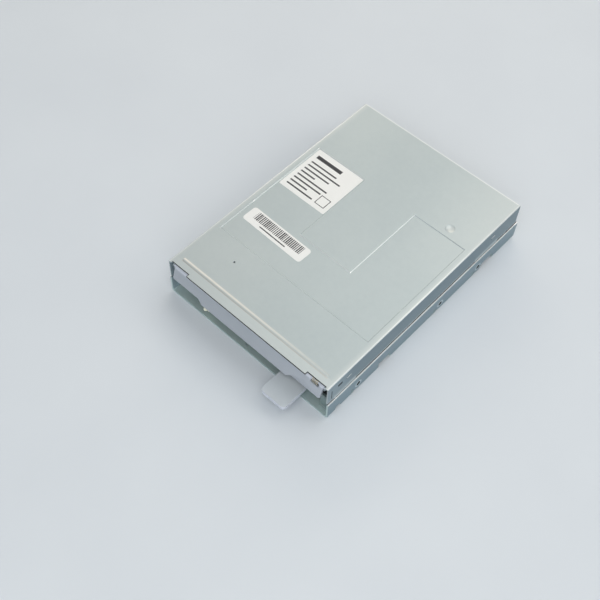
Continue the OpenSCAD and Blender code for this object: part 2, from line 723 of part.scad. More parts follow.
module disk_carrier() color(zinc) difference() {
    union() {
        span([-carrier_half, carrier_half], carrier_y, [carrier_roof, carrier_top]);
        both_sides() {
            span([carrier_half - carrier_t, carrier_half], carrier_y, [ledge_z - carrier_t, carrier_top]);
            span([carrier_half - ledge_w, carrier_half], carrier_y, [ledge_z - carrier_t, ledge_z]);
            span([carrier_half - 16.2, carrier_half - 8.2], [carrier_y[1] - carrier_t, carrier_y[1]], [ledge_z, carrier_top]);
        }
    }
    span([-head_window, head_window], [carrier_y[1] - 22, carrier_y[1] + past], [carrier_roof - past, carrier_top + past]);
    translate([lever_pivot[0], lever_pivot[1], carrier_roof - past])
        linear_extrude(carrier_t + 2 * past) lever_arc();
    bar_z([carrier_roof - past, carrier_top + past], rivet_r + seat_clear, lever_pivot[0], lever_pivot[1]);
    both_sides() for (y = carrier_pin_y)
        bar_x([carrier_half - carrier_t - past, carrier_half + past], carrier_pin_r + seat_clear, y, carrier_pin_z);
}

module carrier_pins() color("#c9ccd0") both_sides() for (y = carrier_pin_y)
    bar_x([carrier_half - carrier_t, guide_x + guide_t - 0.15], carrier_pin_r, y, carrier_pin_z);

// Fixed brackets whose upright slots let the carrier pins move only up and down
module carrier_guides() color(steel) both_sides() for (y = carrier_pin_y) difference() {
    union() {
        span([guide_x, guide_x + guide_t], [y - 4, y + 4], [floor_z, carrier_pin_z + 1.4]);
        span([guide_x, wall_in - 0.5], [y - 4, y + 4], [floor_z, floor_z + guide_t]);
    }
    span([guide_x - past, guide_x + guide_t + past], [y - carrier_pin_r - 0.1, y + carrier_pin_r + 0.1],
        [carrier_pin_z - carrier_drop - carrier_pin_r - 0.2, carrier_pin_z + 2]);
}

// Lever that the disk swings back; its finger reaches down through the carrier's arc slot
lever_tip = lever_reach * [cos(lever_rest), sin(lever_rest)];

module shutter_lever() color("#d8d6cc") translate([lever_pivot[0], lever_pivot[1], 0]) difference() {
    union() {
        translate([0, 0, lever_z]) linear_extrude(lever_t) {
            slot_2d([0, 0], lever_tip, 2.2);
            circle(3.4);
        }
        bar_z([carrier_roof - 3.4, lever_z + lever_t / 2], finger_r, lever_tip[0], lever_tip[1]);
    }
    bar_z([lever_z - past, lever_z + lever_t + past], rivet_r + run_clear, 0, 0);
}

rivet_top = lever_z + lever_t + 2.7;

module lever_rivet() color("#c9ccd0") {
    bar_z([carrier_roof, rivet_top], rivet_r, lever_pivot[0], lever_pivot[1]);
    bar_z([carrier_top, lever_z - run_clear], rivet_r + 1.2, lever_pivot[0], lever_pivot[1]);
    bar_z([rivet_top - 0.5, rivet_top], rivet_r + 0.9, lever_pivot[0], lever_pivot[1]);
}

module lever_spring() color("#9aa0a6") translate([lever_pivot[0], lever_pivot[1], lever_z + lever_t + 0.25])
    wire("lever_spring", torsion_path(2, rivet_r + 0.55, 0.8, [1.6, 1.6]), 0.18);

// Motor board: steel-backed board under the spindle with a neck to the front sensor strip
module motor_board() color(board_green) difference() {
    union() {
        span([-30, 30], [spindle_y - 28, spindle_y + 20.4], [board_z, board_top]);
        span([-34, -24], [strip_y[0], spindle_y - 27], [board_z, board_top]);
        span([-main_half, main_half], strip_y, [board_z, board_top]);
    }
    bar_z([board_z - past, board_top + past], bush_r + seat_clear, 0, spindle_y);
    for (p = motor_board_screws) bar_z([board_z - past, board_top + past], screw_clear_r, p[0], p[1]);
}

module spindle_bush() color(brass) ring_z([floor_z, bush_top], bush_r, shaft_d / 2 + run_clear, 0, spindle_y);

// Stator: a slotted core pressed on the bush with one coil on each tooth
tooth_w = 2;
tooth_tip = 18.2;
shoe_w = 7;
core_r = 8.6;
coil_at = [10, 15.4];

module at_teeth() translate([0, spindle_y, 0]) for (i = [0:teeth - 1]) rotate(360 * i / teeth) children();

module stator_core() color("#70757c") translate([0, spindle_y, core_z[0]])
    linear_extrude(core_z[1] - core_z[0]) difference() {
        union() {
            circle(core_r);
            for (i = [0:teeth - 1]) rotate(360 * i / teeth) {
                translate([0, -tooth_w / 2]) square([tooth_tip, tooth_w]);
                translate([tooth_tip - 1, -shoe_w / 2]) square([1, shoe_w]);
            }
        }
        circle(bush_r + seat_clear);
    }

module stator_coils() color("#b5702f") at_teeth() difference() {
    span(coil_at, [-tooth_w / 2 - coil_over, tooth_w / 2 + coil_over], [core_z[0] - coil_over, core_z[1] + coil_over]);
    span([coil_at[0] - past, coil_at[1] + past], [-tooth_w / 2 - seat_clear, tooth_w / 2 + seat_clear],
        [core_z[0] - seat_clear, core_z[1] + seat_clear]);
}

shaft_top = hub_z + hub_h + chuck_h + 1.9;

module spindle_shaft() color("#c9ccd0") {
    bar_z([floor_z + 0.2, shaft_top - 0.4], shaft_d / 2, 0, spindle_y);
    bar_z([shaft_top - 0.5, shaft_top], shaft_d / 2 - 0.3, 0, spindle_y);
}

module rotor_cup() color(zinc) difference() {
    bar_z([core_z[0] - 0.4, hub_z], rotor_r, 0, spindle_y);
    bar_z([core_z[0] - 0.4 - past, rotor_roof], rotor_r - rotor_t, 0, spindle_y);
    bar_z([core_z[0], hub_z + past], shaft_d / 2 + seat_clear, 0, spindle_y);
}

module rotor_magnet() color(black_plastic)
    ring_z([core_z[0] - 0.2, rotor_roof], rotor_r - rotor_t - seat_clear, rotor_r - rotor_t - magnet_t, 0, spindle_y);

module hub_disc() color(steel) ring_z([hub_z, hub_z + hub_h], hub_d / 2, shaft_d / 2 + seat_clear, 0, spindle_y);

module chuck_magnet() color("#3a3b3e") difference() {
    ring_z([hub_z + hub_h, hub_z + hub_h + chuck_h], hub_d / 2 - 0.6, shaft_d / 2 + 3.4, 0, spindle_y);
    bar_z([hub_z, hub_z + hub_h + chuck_h + past], drive_pin_r + 0.9, drive_pin_at, spindle_y);
}

module drive_pin() color("#c9ccd0") {
    bar_z([hub_z + hub_h, shaft_top - 1], drive_pin_r, drive_pin_at, spindle_y);
    bar_z([hub_z + hub_h, hub_z + hub_h + 0.4], drive_pin_r + 0.6, drive_pin_at, spindle_y);
}

module index_sensor() color(black_plastic)
    span([rotor_r + 2.9, rotor_r + 5.9], [spindle_y - 1.5, spindle_y + 1.5], [board_top, board_top + 2.6]);

// Head carriage on its guide rod, with ears for the arm and a vane for the track sensor
vane_z = [7.6, 8.4];
vane_y = [carriage_y[1] - 8, carriage_y[1] - 1];

module head_carriage() color(black_plastic) difference() {
    union() {
        span([-7, rod_x0 + 4.5], carriage_y, carriage_z);
        span([-nose_half, nose_half], [head_y - 4.5, carriage_y[1] - 1], nose_z);
        for (s = [-1, 1]) span(s > 0 ? ear_half : [-ear_half[1], -ear_half[0]],
            [pivot_y - 2.4, carriage_y[1]], [carriage_z[1] - past, pivot_z + 1.8]);
        span([rod_x0 + 4, rod_x0 + 9], vane_y, vane_z);
    }
    bar_y([carriage_y[0] - past, carriage_y[1] + past], rod_r + run_clear, rod_x0, rod_z0);
    bar_x([-ear_half[1] - past, ear_half[1] + past], pivot_r + seat_clear, pivot_y, pivot_z);
}

module lower_head() color("#55585c") {
    span([-3.5, 3.5], [head_y - 3.5, head_y + 3.5], [nose_z[1], nose_z[1] + 1.6]);
    span([-2.4, 2.4], [head_y - 2.2, head_y + 2.2], [nose_z[1] + 1.5, nose_z[1] + 2.6]);
}

module at_arm() translate([0, pivot_y, pivot_z]) rotate([-arm_lift, 0, 0]) children();

module head_arm() color("#8d9296") at_arm() difference() {
    union() {
        span([-arm_half, arm_half], [head_y - pivot_y - 2.5, 0], [-0.4, 0.5]);
        bar_x([-arm_half, arm_half], 1.6, 0, 0);
    }
    bar_x([-arm_half - past, arm_half + past], pivot_r + run_clear, 0, 0);
}

module upper_head() color("#55585c") at_arm() {
    span([-3.2, 3.2], [head_y - pivot_y - 2.3, head_y - pivot_y + 2.3], [-2, -0.4]);
    span([-2.2, 2.2], [head_y - pivot_y - 1.8, head_y - pivot_y + 1.8], [-3, -1.9]);
}

module arm_pivot_pin() color("#c9ccd0") bar_x([-ear_half[1], ear_half[1]], pivot_r, pivot_y, pivot_z);

module screw_follower() color("#d8d6cc") difference() {
    span([screw_x - 2.6, -7], follower_y, [carriage_z[0] + 0.4, screw_z + 2.8]);
    bar_y([follower_y[0] - past, follower_y[1] + past], lead_r + 0.3, screw_x, screw_z);
    span([screw_x - 3, screw_x], [follower_y[0] - past, follower_y[1] + past], [screw_z - 4, screw_z]);
}

module guide_rod() color("#c9ccd0") bar_y([clamp_y[0][0] + 0.2, clamp_y[1][1] - 0.2], rod_r, rod_x0, rod_z0);

module rod_clamps() color(steel) for (y = clamp_y) difference() {
    union() {
        span([rod_x0 - 3.5, rod_x0 + 3.5], y, [floor_z, rod_z0 + 2]);
        span([rod_x0 - 8.8, rod_x0], y, [floor_z, floor_z + 1]);
    }
    bar_y([y[0] - past, y[1] + past], rod_r + seat_clear, rod_x0, rod_z0);
    bar_z([floor_z - past, floor_z + 2], screw_clear_r, rod_x0 - 6.4, (y[0] + y[1]) / 2);
}

// Stepper motor on a folded bracket whose front upright carries the screw's tip
module stepper_motor() color("#9da3a8") difference() {
    union() {
        bar_y([bracket_y[1], bracket_y[1] + stepper_l], stepper_r, screw_x, screw_z);
        span([screw_x - 4, screw_x + 4], [bracket_y[1] + 3, bracket_y[1] + 9], [screw_z, screw_z + stepper_r + 1.6]);
    }
    bar_y([bracket_y[1] - past, bracket_y[1] + stepper_l - 2], lead_r + run_clear, screw_x, screw_z);
}

module stepper_bracket() color(steel) difference() {
    union() {
        span([screw_x - 5, screw_x + 5], bracket_y, [floor_z, floor_z + bracket_t]);
        span([screw_x - 4, screw_x + 4], [bracket_y[0], bracket_y[0] + bracket_t], [floor_z, screw_z + 2.2]);
        span([screw_x - 8, screw_x + 8], [bracket_y[1] - bracket_t, bracket_y[1]], [floor_z, screw_z + stepper_r]);
    }
    bar_y([bracket_y[0] - past, bracket_y[0] + bracket_t + past], tip_r + run_clear, screw_x, screw_z);
    bar_y([bracket_y[1] - bracket_t - past, bracket_y[1] + past], lead_r + 0.5, screw_x, screw_z);
    for (p = [bracket_screw_at[0], bracket_screw_at[1]])
        bar_z([floor_z - past, floor_z + bracket_t + past], screw_clear_r, p[0], p[1]);
}

module lead_screw() color("#c9ccd0") {
    bar_y([bracket_y[0] + 0.1, bracket_y[0] + bracket_t + 0.6], tip_r, screw_x, screw_z);
    bar_y([bracket_y[0] + bracket_t + 0.4, bracket_y[1] + stepper_l - 2.4], lead_r, screw_x, screw_z);
}

module track_zero_sensor() color(black_plastic) {
    y = [vane_y[0] + 0.5, vane_y[1] - 0.5];
    span([rod_x0 + 11, rod_x0 + 16], y, [board_top, vane_z[1] + 2.6]);
    span([rod_x0 + 6.4, rod_x0 + 11.5], y, [vane_z[1] + 0.8, vane_z[1] + 2.6]);
    span([rod_x0 + 6.4, rod_x0 + 11.5], y, [vane_z[0] - 2.4, vane_z[0] - 0.8]);
}

// Main board at the back, cut away round the carriage and the motor
module main_board() color(board_green) difference() {
    span([-main_half, main_half], main_y, [board_z, board_top]);
    span(main_cut_x, [main_y[0] - past, main_cut_y], [board_z - past, board_top + past]);
    for (p = main_board_screws) bar_z([board_z - past, board_top + past], screw_clear_r, p[0], p[1]);
}

module chip(x, y, w, l, h) span([x - w / 2, x + w / 2], [y - l / 2, y + l / 2], [board_top, board_top + h]);

module board_chips() color(black_plastic) {
    chip(-main_half + 9, main_y[0] + 12, 13, 13, 1.8);
    chip(main_half - 10, main_y[0] + 10.5, 12, 9, 1.6);
    chip(main_half - 8.5, main_y[0] + 19, 7, 5, 1.4);
}

module board_capacitors() color("#4a5f86") {
    for (p = [[-main_half + 5, 25], [-main_half + 12, 25], [main_half - 6, 26]])
        bar_z([board_top, board_top + 5.4], 2.4, p[0], main_y[0] + p[1]);
    for (x = [6.5, 9.5, 12.5, 15.5]) chip(x - main_half, main_y[0] + 2, 1.2, 2, 0.8);
    for (y = [4, 12, 25]) chip(main_cut_x[1] + 2.4, main_y[0] + y, 2, 1.2, 0.8);
}

// Shrouded data header facing the back
data_cavity_x = [data_x - data_w / 2 + data_wall, data_x + data_w / 2 - data_wall];
data_cavity_z = [data_z[0] + 1.2, data_z[1] - 1.2];
data_mid_z = (data_z[0] + data_z[1]) / 2;

module data_connector() color(black_plastic) difference() {
    span([data_x - data_w / 2, data_x + data_w / 2], data_y, data_z);
    span(data_cavity_x, [data_y[0] + 2, data_y[1] + past], data_cavity_z);
    span([data_x - 2.2, data_x + 2.2], [data_y[0] + 3, data_y[1] + past], [data_mid_z, data_z[1] + past]);
}

// Two rows of posts with one left out as the key
key_post = 2;

module data_pins() color(brass) for (i = [0:pins_per_row - 1], row = [-1, 1]) if (!(row < 0 && i == key_post))
    translate([data_x + (i - (pins_per_row - 1) / 2) * pin_pitch, 0, data_mid_z + row * pin_pitch / 2])
        span([-pin_w / 2, pin_w / 2], [data_y[0] + 2, data_y[1] - 1.2], [-pin_w / 2, pin_w / 2]);

module power_connector() color("#e2dfd2") difference() {
    span([power_x - power_w / 2, power_x + power_w / 2], power_y, [board_top, board_top + power_h]);
    span([power_x - power_w / 2 + power_wall, power_x + power_w / 2 - power_wall], [power_y[0] + 2, power_y[1] + past],
        [board_top + 1.2, board_top + power_h - 1]);
    for (s = [-1, 1]) span([power_x + s * 4 - 0.8, power_x + s * 4 + 0.8], [power_y[0] + 3, power_y[1] + past],
        [board_top + power_h - 2, board_top + power_h + past]);
}

module power_pins() color("#c9ccd0") for (i = [0:3])
    translate([power_x + (i - 1.5) * power_pitch, 0, board_top + power_h / 2])
        span([-pin_w / 2, pin_w / 2], [power_y[0] + 2, power_y[1] - 1.2], [-pin_w / 2, pin_w / 2]);

// Flat cable arching from the carriage back to its socket on the main board
socket_top = board_top + 2.6;
arch_r = (cable_y[1] - cable_y[0]) / 2;
arch_z = 12;

module head_cable_socket() color("#e2dfd2")
    span(socket_x, [cable_y[1] - 1.4, cable_y[1] + 1.4], [board_top, socket_top]);

module head_cable() color("#b9793a") push_x(cable_x) {
    intersection() {
        translate([cable_y[0] + arch_r, arch_z]) difference() {
            circle(arch_r + cable_t / 2);
            circle(arch_r - cable_t / 2);
        }
        translate([cable_y[0] - past, arch_z]) square([2 * arch_r + 2 * past, arch_r + past]);
    }
    translate([cable_y[0] - cable_t / 2, carriage_z[1]]) square([cable_t, arch_z - carriage_z[1]]);
    translate([cable_y[1] - cable_t / 2, socket_top]) square([cable_t, arch_z - socket_top]);
}

// Sensing switches with their plungers
module sense_switches() color(black_plastic) for (x = switch_x) difference() {
    translate([x - switch_size[0] / 2, switch_y - switch_size[1] / 2, board_top]) cube(switch_size);
    bar_z([board_top + 1, board_top + switch_size[2] + past], plunger_r + run_clear, x, switch_y);
}

module plunger(x) color("#dcdad2") {
    bar_z([board_top + 3.4, plunger_top - 0.5], plunger_r, x, switch_y);
    translate([x, switch_y, plunger_top - 0.5]) cylinder(h = 0.5, r1 = plunger_r, r2 = plunger_r - 0.4);
}

module write_protect_plunger() plunger(switch_x[0]);
module density_plunger() plunger(switch_x[1]);
module disk_plunger() plunger(switch_x[2]);

// Lamp at the front, on a block that lifts it from the sensor strip
led_block_z = [led_z - 1.6, led_z + 1.6];

module status_led() color("#cfe3a6") {
    span([led_x - 1.6, led_x + 1.6], [led_tip_y + 1.5, 6.6], led_block_z);
    bar_y([led_tip_y + led_r, led_tip_y + 1.6], led_r, led_x, led_z);
    intersection() {
        translate([led_x, led_tip_y + led_r, led_z]) sphere(led_r);
        span([led_x - 2, led_x + 2], [led_tip_y - past, led_tip_y + led_r], [led_z - 2, led_z + 2]);
    }
}

module led_holder() color(black_plastic)
    span([led_x - 2, led_x + 2], [strip_y[0] + 0.2, strip_y[1] - 0.6], [board_top, led_block_z[0]]);

module board_screws() color("#c9ccd0")
    for (p = concat(motor_board_screws, main_board_screws)) screw(p[0], p[1], board_top, board_top - floor_z / 2);

module bracket_screws() color("#c9ccd0")
    for (p = bracket_screw_at) screw(p[0], p[1], floor_z + 1, 1.5);

chassis();
top_cover();
rating_label();
bar_label();
dust_door();
door_spring();
eject_button();
eject_slide();
slide_guide_pins();
left_slide_spring();
right_slide_spring();
disk_carrier();
carrier_pins();
carrier_guides();
shutter_lever();
lever_rivet();
lever_spring();
motor_board();
spindle_bush();
stator_core();
stator_coils();
spindle_shaft();
rotor_cup();
rotor_magnet();
hub_disc();
chuck_magnet();
drive_pin();
index_sensor();
head_carriage();
lower_head();
head_arm();
upper_head();
arm_pivot_pin();
screw_follower();
guide_rod();
rod_clamps();
stepper_motor();
stepper_bracket();
lead_screw();
track_zero_sensor();
main_board();
board_chips();
board_capacitors();
data_connector();
data_pins();
power_connector();
power_pins();
head_cable_socket();
head_cable();
sense_switches();
write_protect_plunger();
density_plunger();
disk_plunger();
status_led();
led_holder();
board_screws();
bracket_screws();
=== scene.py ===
import math

import bmesh
import bpy
from mathutils import Matrix, Vector


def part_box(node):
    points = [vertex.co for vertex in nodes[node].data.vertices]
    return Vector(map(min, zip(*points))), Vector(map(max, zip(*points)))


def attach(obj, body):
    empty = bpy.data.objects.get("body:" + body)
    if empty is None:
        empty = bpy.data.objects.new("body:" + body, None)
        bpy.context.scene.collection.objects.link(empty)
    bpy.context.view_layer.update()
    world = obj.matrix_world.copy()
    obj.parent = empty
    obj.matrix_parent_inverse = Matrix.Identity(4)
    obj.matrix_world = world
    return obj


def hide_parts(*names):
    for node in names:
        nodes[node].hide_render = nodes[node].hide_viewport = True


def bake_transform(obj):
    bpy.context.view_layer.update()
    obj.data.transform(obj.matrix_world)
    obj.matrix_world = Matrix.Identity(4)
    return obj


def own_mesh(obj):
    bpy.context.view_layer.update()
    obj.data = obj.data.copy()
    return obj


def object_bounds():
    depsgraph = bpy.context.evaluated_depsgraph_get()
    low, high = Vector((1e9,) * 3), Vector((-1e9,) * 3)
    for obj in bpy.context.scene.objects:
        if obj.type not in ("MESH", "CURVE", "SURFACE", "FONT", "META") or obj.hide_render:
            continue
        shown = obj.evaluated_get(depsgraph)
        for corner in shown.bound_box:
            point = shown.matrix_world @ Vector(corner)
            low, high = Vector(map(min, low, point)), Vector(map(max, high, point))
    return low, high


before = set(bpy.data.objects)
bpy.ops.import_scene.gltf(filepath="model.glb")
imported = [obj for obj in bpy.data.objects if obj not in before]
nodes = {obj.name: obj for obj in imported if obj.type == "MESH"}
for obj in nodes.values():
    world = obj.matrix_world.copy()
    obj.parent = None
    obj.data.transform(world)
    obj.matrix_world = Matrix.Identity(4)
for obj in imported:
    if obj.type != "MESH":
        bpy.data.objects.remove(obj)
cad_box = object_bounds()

# Camera
# It looks down on the front right corner of the drive from about half a metre,
# through a short telephoto lens and leaning slightly to one side.
MM = 0.001
view_turn = math.radians(41.08)
view_rise = math.radians(56.415)
view_lean = math.radians(2.144)
view_distance = 453.06 * MM
view_aim = Vector((4.062, 32.134, 12.7)) * MM

scene = bpy.context.scene
scene.view_settings.view_transform = "Standard"
lens = bpy.data.cameras.new("camera")
lens.sensor_width = 36
lens.lens = 57.79
camera = bpy.data.objects.new("camera", lens)
scene.collection.objects.link(camera)
camera.matrix_world = (
    Matrix.Translation(view_aim)
    @ Matrix.Rotation(view_turn, 4, "Z")
    @ Matrix.Rotation(math.pi / 2 - view_rise, 4, "X")
    @ Matrix.Rotation(view_lean, 4, "Z")
    @ Matrix.Translation((0, 0, view_distance))
)
scene.camera = camera


# Floor
# The drive lies on its chassis floor on a plain pale board with a faint mottled paper face.
# Well away from the drive the paper melts into a backdrop of nearly the same tone.
def paint(code):
    """A colour written as a web code, in the linear values that the shaders take."""
    parts = [int(code[i:i + 2], 16) / 255 for i in (1, 3, 5)]
    linear = [c / 12.92 if c <= 0.04045 else ((c + 0.055) / 1.055) ** 2.4 for c in parts]
    return (*linear, 1)


class Value:
    """A socket that changes over a surface; sums on it add the nodes that work them out."""

    def __init__(self, socket):
        self.socket = socket
        self.tree = socket.id_data

    def add(self, kind, sockets, settings=None, out=0):
        """Adds one node: its settings first, then the values or links of its sockets."""
        made = self.tree.nodes.new(kind)
        for name, setting in (settings or {}).items():
            setattr(made, name, setting)
        for name, value in sockets.items():
            if isinstance(value, Value):
                self.tree.links.new(value.socket, made.inputs[name])
            else:
                made.inputs[name].default_value = value
        return Value(made.outputs[out])

    def sum(self, operation, a, b=0):
        return self.add("ShaderNodeMath", {0: a, 1: b}, {"operation": operation})

    def __add__(self, other):
        return self.sum("ADD", self, other)

    def __sub__(self, other):
        return self.sum("SUBTRACT", self, other)

    def __rsub__(self, other):
        return self.sum("SUBTRACT", other, self)

    def __mul__(self, other):
        return self.sum("MULTIPLY", self, other)

    def __truediv__(self, other):
        return self.sum("DIVIDE", self, other)

    def __gt__(self, other):
        return self.sum("GREATER_THAN", self, other)

    def __lt__(self, other):
        return self.sum("LESS_THAN", self, other)

    __radd__ = __add__
    __rmul__ = __mul__

    def size(self):
        return self.sum("ABSOLUTE", self)

    def floor(self):
        return self.sum("FLOOR", self)

    def most(self, other):
        return self.sum("MAXIMUM", self, other)

    def within(self, low, high):
        """1 between low and high, and 0 outside them."""
        return (self > low) * (self < high)

    def rise(self, low, high):
        """From 0 at low to 1 at high, with a soft start and end. It falls where low is the higher."""
        sockets = {"Value": self, "From Min": low, "From Max": high}
        return self.add("ShaderNodeMapRange", sockets, {"interpolation_type": "SMOOTHSTEP"})

    def chance(self):
        """A random share from 0 to 1 for each value."""
        return self.add("ShaderNodeTexWhiteNoise", {"W": self}, {"noise_dimensions": "1D"})

    def mapped(self, scale=(1, 1, 1), middle=(0, 0, 0), turn=0):
        """The place moved so that middle is at its origin, turned about Z and scaled."""
        moved = self.add("ShaderNodeVectorMath", {0: self, 1: middle}, {"operation": "SUBTRACT"})
        sockets = {"Vector": moved, "Rotation": (0, 0, turn), "Scale": scale}
        return self.add("ShaderNodeMapping", sockets)

    def axis(self, number):
        return self.add("ShaderNodeSeparateXYZ", {0: self}, out=number)

    def length(self):
        """How far the place is from its origin."""
        return self.add("ShaderNodeVectorMath", {0: self}, {"operation": "LENGTH"}, out="Value")

    def facing(self):
        """The way the surface faces, along the object's own axes."""
        return self.add("ShaderNodeTexCoord", {}, out="Normal")

    def noise(self, scale, detail=3, roughness=0.5):
        sockets = {"Vector": self, "Scale": scale, "Detail": detail, "Roughness": roughness}
        return self.add("ShaderNodeTexNoise", sockets)

    def mix(self, without, with_all):
        """The colour that is without at 0 and with_all at 1."""
        sockets = {0: self, 6: without, 7: with_all}
        return self.add("ShaderNodeMix", sockets, {"data_type": "RGBA"}, out=2)

    def bump(self, height, strength):
        return self.add("ShaderNodeBump", {"Height": self, "Distance": height, "Strength": strength})

    def seen(self):
        """1 where the eye, a mirror or a clear piece looks, and 0 where light is gathered."""
        kinds = ("Is Camera Ray", "Is Glossy Ray", "Is Transmission Ray")
        looks = sum(self.add("ShaderNodeLightPath", {}, out=kind) for kind in kinds)
        return looks.sum("MINIMUM", looks, 1)

    def fade(self, near, far):
        """The shader that is near at 0 and far at 1."""
        return self.add("ShaderNodeMixShader", {0: self, 1: near, 2: far})

    def put_out(self, kind):
        output = self.tree.nodes.new(kind)
        self.tree.links.new(self.socket, output.inputs["Surface"])

    def finished(self):
        """Puts a shader out as its material's surface and returns the material."""
        self.put_out("ShaderNodeOutputMaterial")
        return bpy.data.materials[self.tree["finish"]]

    def shade(self, sockets):
        """Feeds the sockets of a Principled shader and returns the finished material."""
        return self.add("ShaderNodeBsdfPrincipled", sockets).finished()


def new_finish(name):
    """Starts a material and gives the place on the object, in metres."""
    material = bpy.data.materials.new(name)
    material.use_nodes = True
    material.node_tree.nodes.clear()
    material.node_tree["finish"] = material.name
    coordinates = material.node_tree.nodes.new("ShaderNodeTexCoord")
    return Value(coordinates.outputs["Object"])


floor_size = 2.5
floor_drop = 0.2 * MM
paper_end = 0.3
backdrop_start = 1.1
backdrop_tone = paint("#cfd6db")


def paper_board():
    place = new_finish("paper board")
    mottle = place.noise(14, 4)
    tooth = place.noise(1500, 2)
    paper = place.add("ShaderNodeBsdfPrincipled", {
        "Base Color": mottle.mix(paint("#d2d8dd"), paint("#dae0e4")),
        "Roughness": 0.75 + 0.1 * tooth,
        "Normal": tooth.bump(0.1 * MM, 0.15),
    })
    backdrop = place.add("ShaderNodeEmission", {"Color": backdrop_tone})
    melted = place.length().rise(paper_end, backdrop_start)
    return (melted * place.seen()).fade(paper, backdrop).finished()


shape = bmesh.new()
bmesh.ops.create_grid(shape, x_segments=1, y_segments=1, size=floor_size)
bmesh.ops.translate(shape, vec=(0, 0, -floor_drop), verts=shape.verts)
floor_mesh = bpy.data.meshes.new("floor")
shape.to_mesh(floor_mesh)
shape.free()
floor_mesh.materials.append(paper_board())
floor = bpy.data.objects.new("floor", floor_mesh)
scene.collection.objects.link(floor)

# Studio light
# A pale room with a broad panel over the back, a warm one low behind the drive, a small one at
# the right like a window, one over the camera and one that fills the front. Low down, the eye
# and the metal see a plain backdrop instead of the room.
room_strength = 0.41
panels = {
    "back panel": ((0.08, 0.6, 1.05), (1, 0.7), 3.3, "#fffdfa"),
    "low back panel": ((-0.7, 0.8, 0.46), (0.9, 0.36), 2.7, "#ffeedc"),
    "window panel": ((0.72, 0.55, 0.6), (0.4, 0.4), 1.1, "#fff6ee"),
    "camera panel": ((0.3, -0.48, 1.05), (1, 0.9), 5.7, "#ffffff"),
    "front panel": ((0.72, -0.78, 0.45), (1, 0.7), 2.5, "#f4f8ff"),
}

room = bpy.data.worlds.new("studio")
room.use_nodes = True
scene.world = room
room.node_tree.nodes.clear()
direction = Value(room.node_tree.nodes.new("ShaderNodeTexCoord").outputs["Generated"])
room_tone = direction.axis(2).rise(-0.05, 0.75).mix(paint("#a8bccd"), paint("#eef1f3"))
sky = direction.add("ShaderNodeBackground", {"Color": room_tone, "Strength": room_strength})
backdrop = direction.add("ShaderNodeBackground", {"Color": backdrop_tone})
low_down = direction.axis(2).rise(0.5, 0.15)
(low_down * direction.seen()).fade(sky, backdrop).put_out("ShaderNodeOutputWorld")

for name, (place, size, watts, tint) in panels.items():
    lamp = bpy.data.lights.new(name, "AREA")
    lamp.shape = "RECTANGLE"
    lamp.size, lamp.size_y = size
    lamp.energy = watts
    lamp.color = paint(tint)[:3]
    panel = bpy.data.objects.new(name, lamp)
    scene.collection.objects.link(panel)
    panel.location = place
    panel.rotation_euler = (view_aim - Vector(place)).to_track_quat("-Z", "Y").to_euler()

# Chassis
# A tray folded from one millimetre zinc-plated steel sheet. Its feet and hole tabs are lanced
# from the lower edges of the walls. The walls carry painted shade. A paler ring round each side
# hole is a painted highlight with painted shade in its bore, and the wall tops carry a painted
# highlight outside and a painted shade line inside.
wall_top = 11.6 * MM
half_width = cad_box[1].x
rim_depth = 0.16 * MM
# Where the painted highlight and the painted shade line on the wall tops end.
rim_highlight_to = 0.52 * MM
rim_shade_from = 0.62 * MM
side_holes_y = (21 * MM, 81 * MM, 111 * MM)
side_hole_z = 5 * MM
side_hole_r = 1.25 * MM
hole_highlight_ring = 1 * MM
ring_share = (0, 0.9, 1)
# Painted shade for the inner faces of the chassis walls and the cover skirts.
inner_wall_shade = paint("#aebfc8")


def zinc_sheet(name, tone, light_tone, light_and_shade=None):
    """Satin plating with a fine rolling grain along the depth and cloudy handling marks.

    A function given as the last argument paints light and shade into the colour and may make pressed
    slopes smoother.
    """
    place = new_finish(name)
    grain = place.mapped((1600, 70, 1600)).noise(1, 4, 0.65)
    cloud = place.noise(22, 4, 0.5)
    spangle = place.noise(420, 2)
    colour = (0.7 * cloud + 0.3 * spangle).rise(0.2, 0.8).mix(paint(tone), paint(light_tone))
    roughness = 0.36 + 0.1 * grain + 0.06 * cloud
    if light_and_shade:
        colour, roughness = light_and_shade(place, colour, roughness)
    return place.shade({
        "Base Color": colour,
        "Metallic": 0.45,
        "Roughness": roughness,
        "Normal": (grain + 0.5 * spangle).bump(0.02 * MM, 0.25),
    })


def dress(finish, *names):
    """Gives CAD pieces their finish."""
    for name in names:
        nodes[name].material_slots[0].material = finish


def soften(width, *names):
    """Rounds the sharp edges of CAD pieces, as deburring or a mould's radius does."""
    for name in names:
        weld = nodes[name].modifiers.new("weld", "WELD")
        weld.merge_threshold = 0.0005 * MM
        edges = nodes[name].modifiers.new("soft edges", "BEVEL")
        edges.width = width
        edges.segments = 2
        edges.limit_method = "ANGLE"
        edges.angle_limit = math.radians(40)
        edges.use_clamp_overlap = True
        edges.harden_normals = True


def on_walls(sideways):
    """1 on the faces of the side walls, and 0 on the faces between them."""
    return sideways.size().rise(0.6, 0.9)


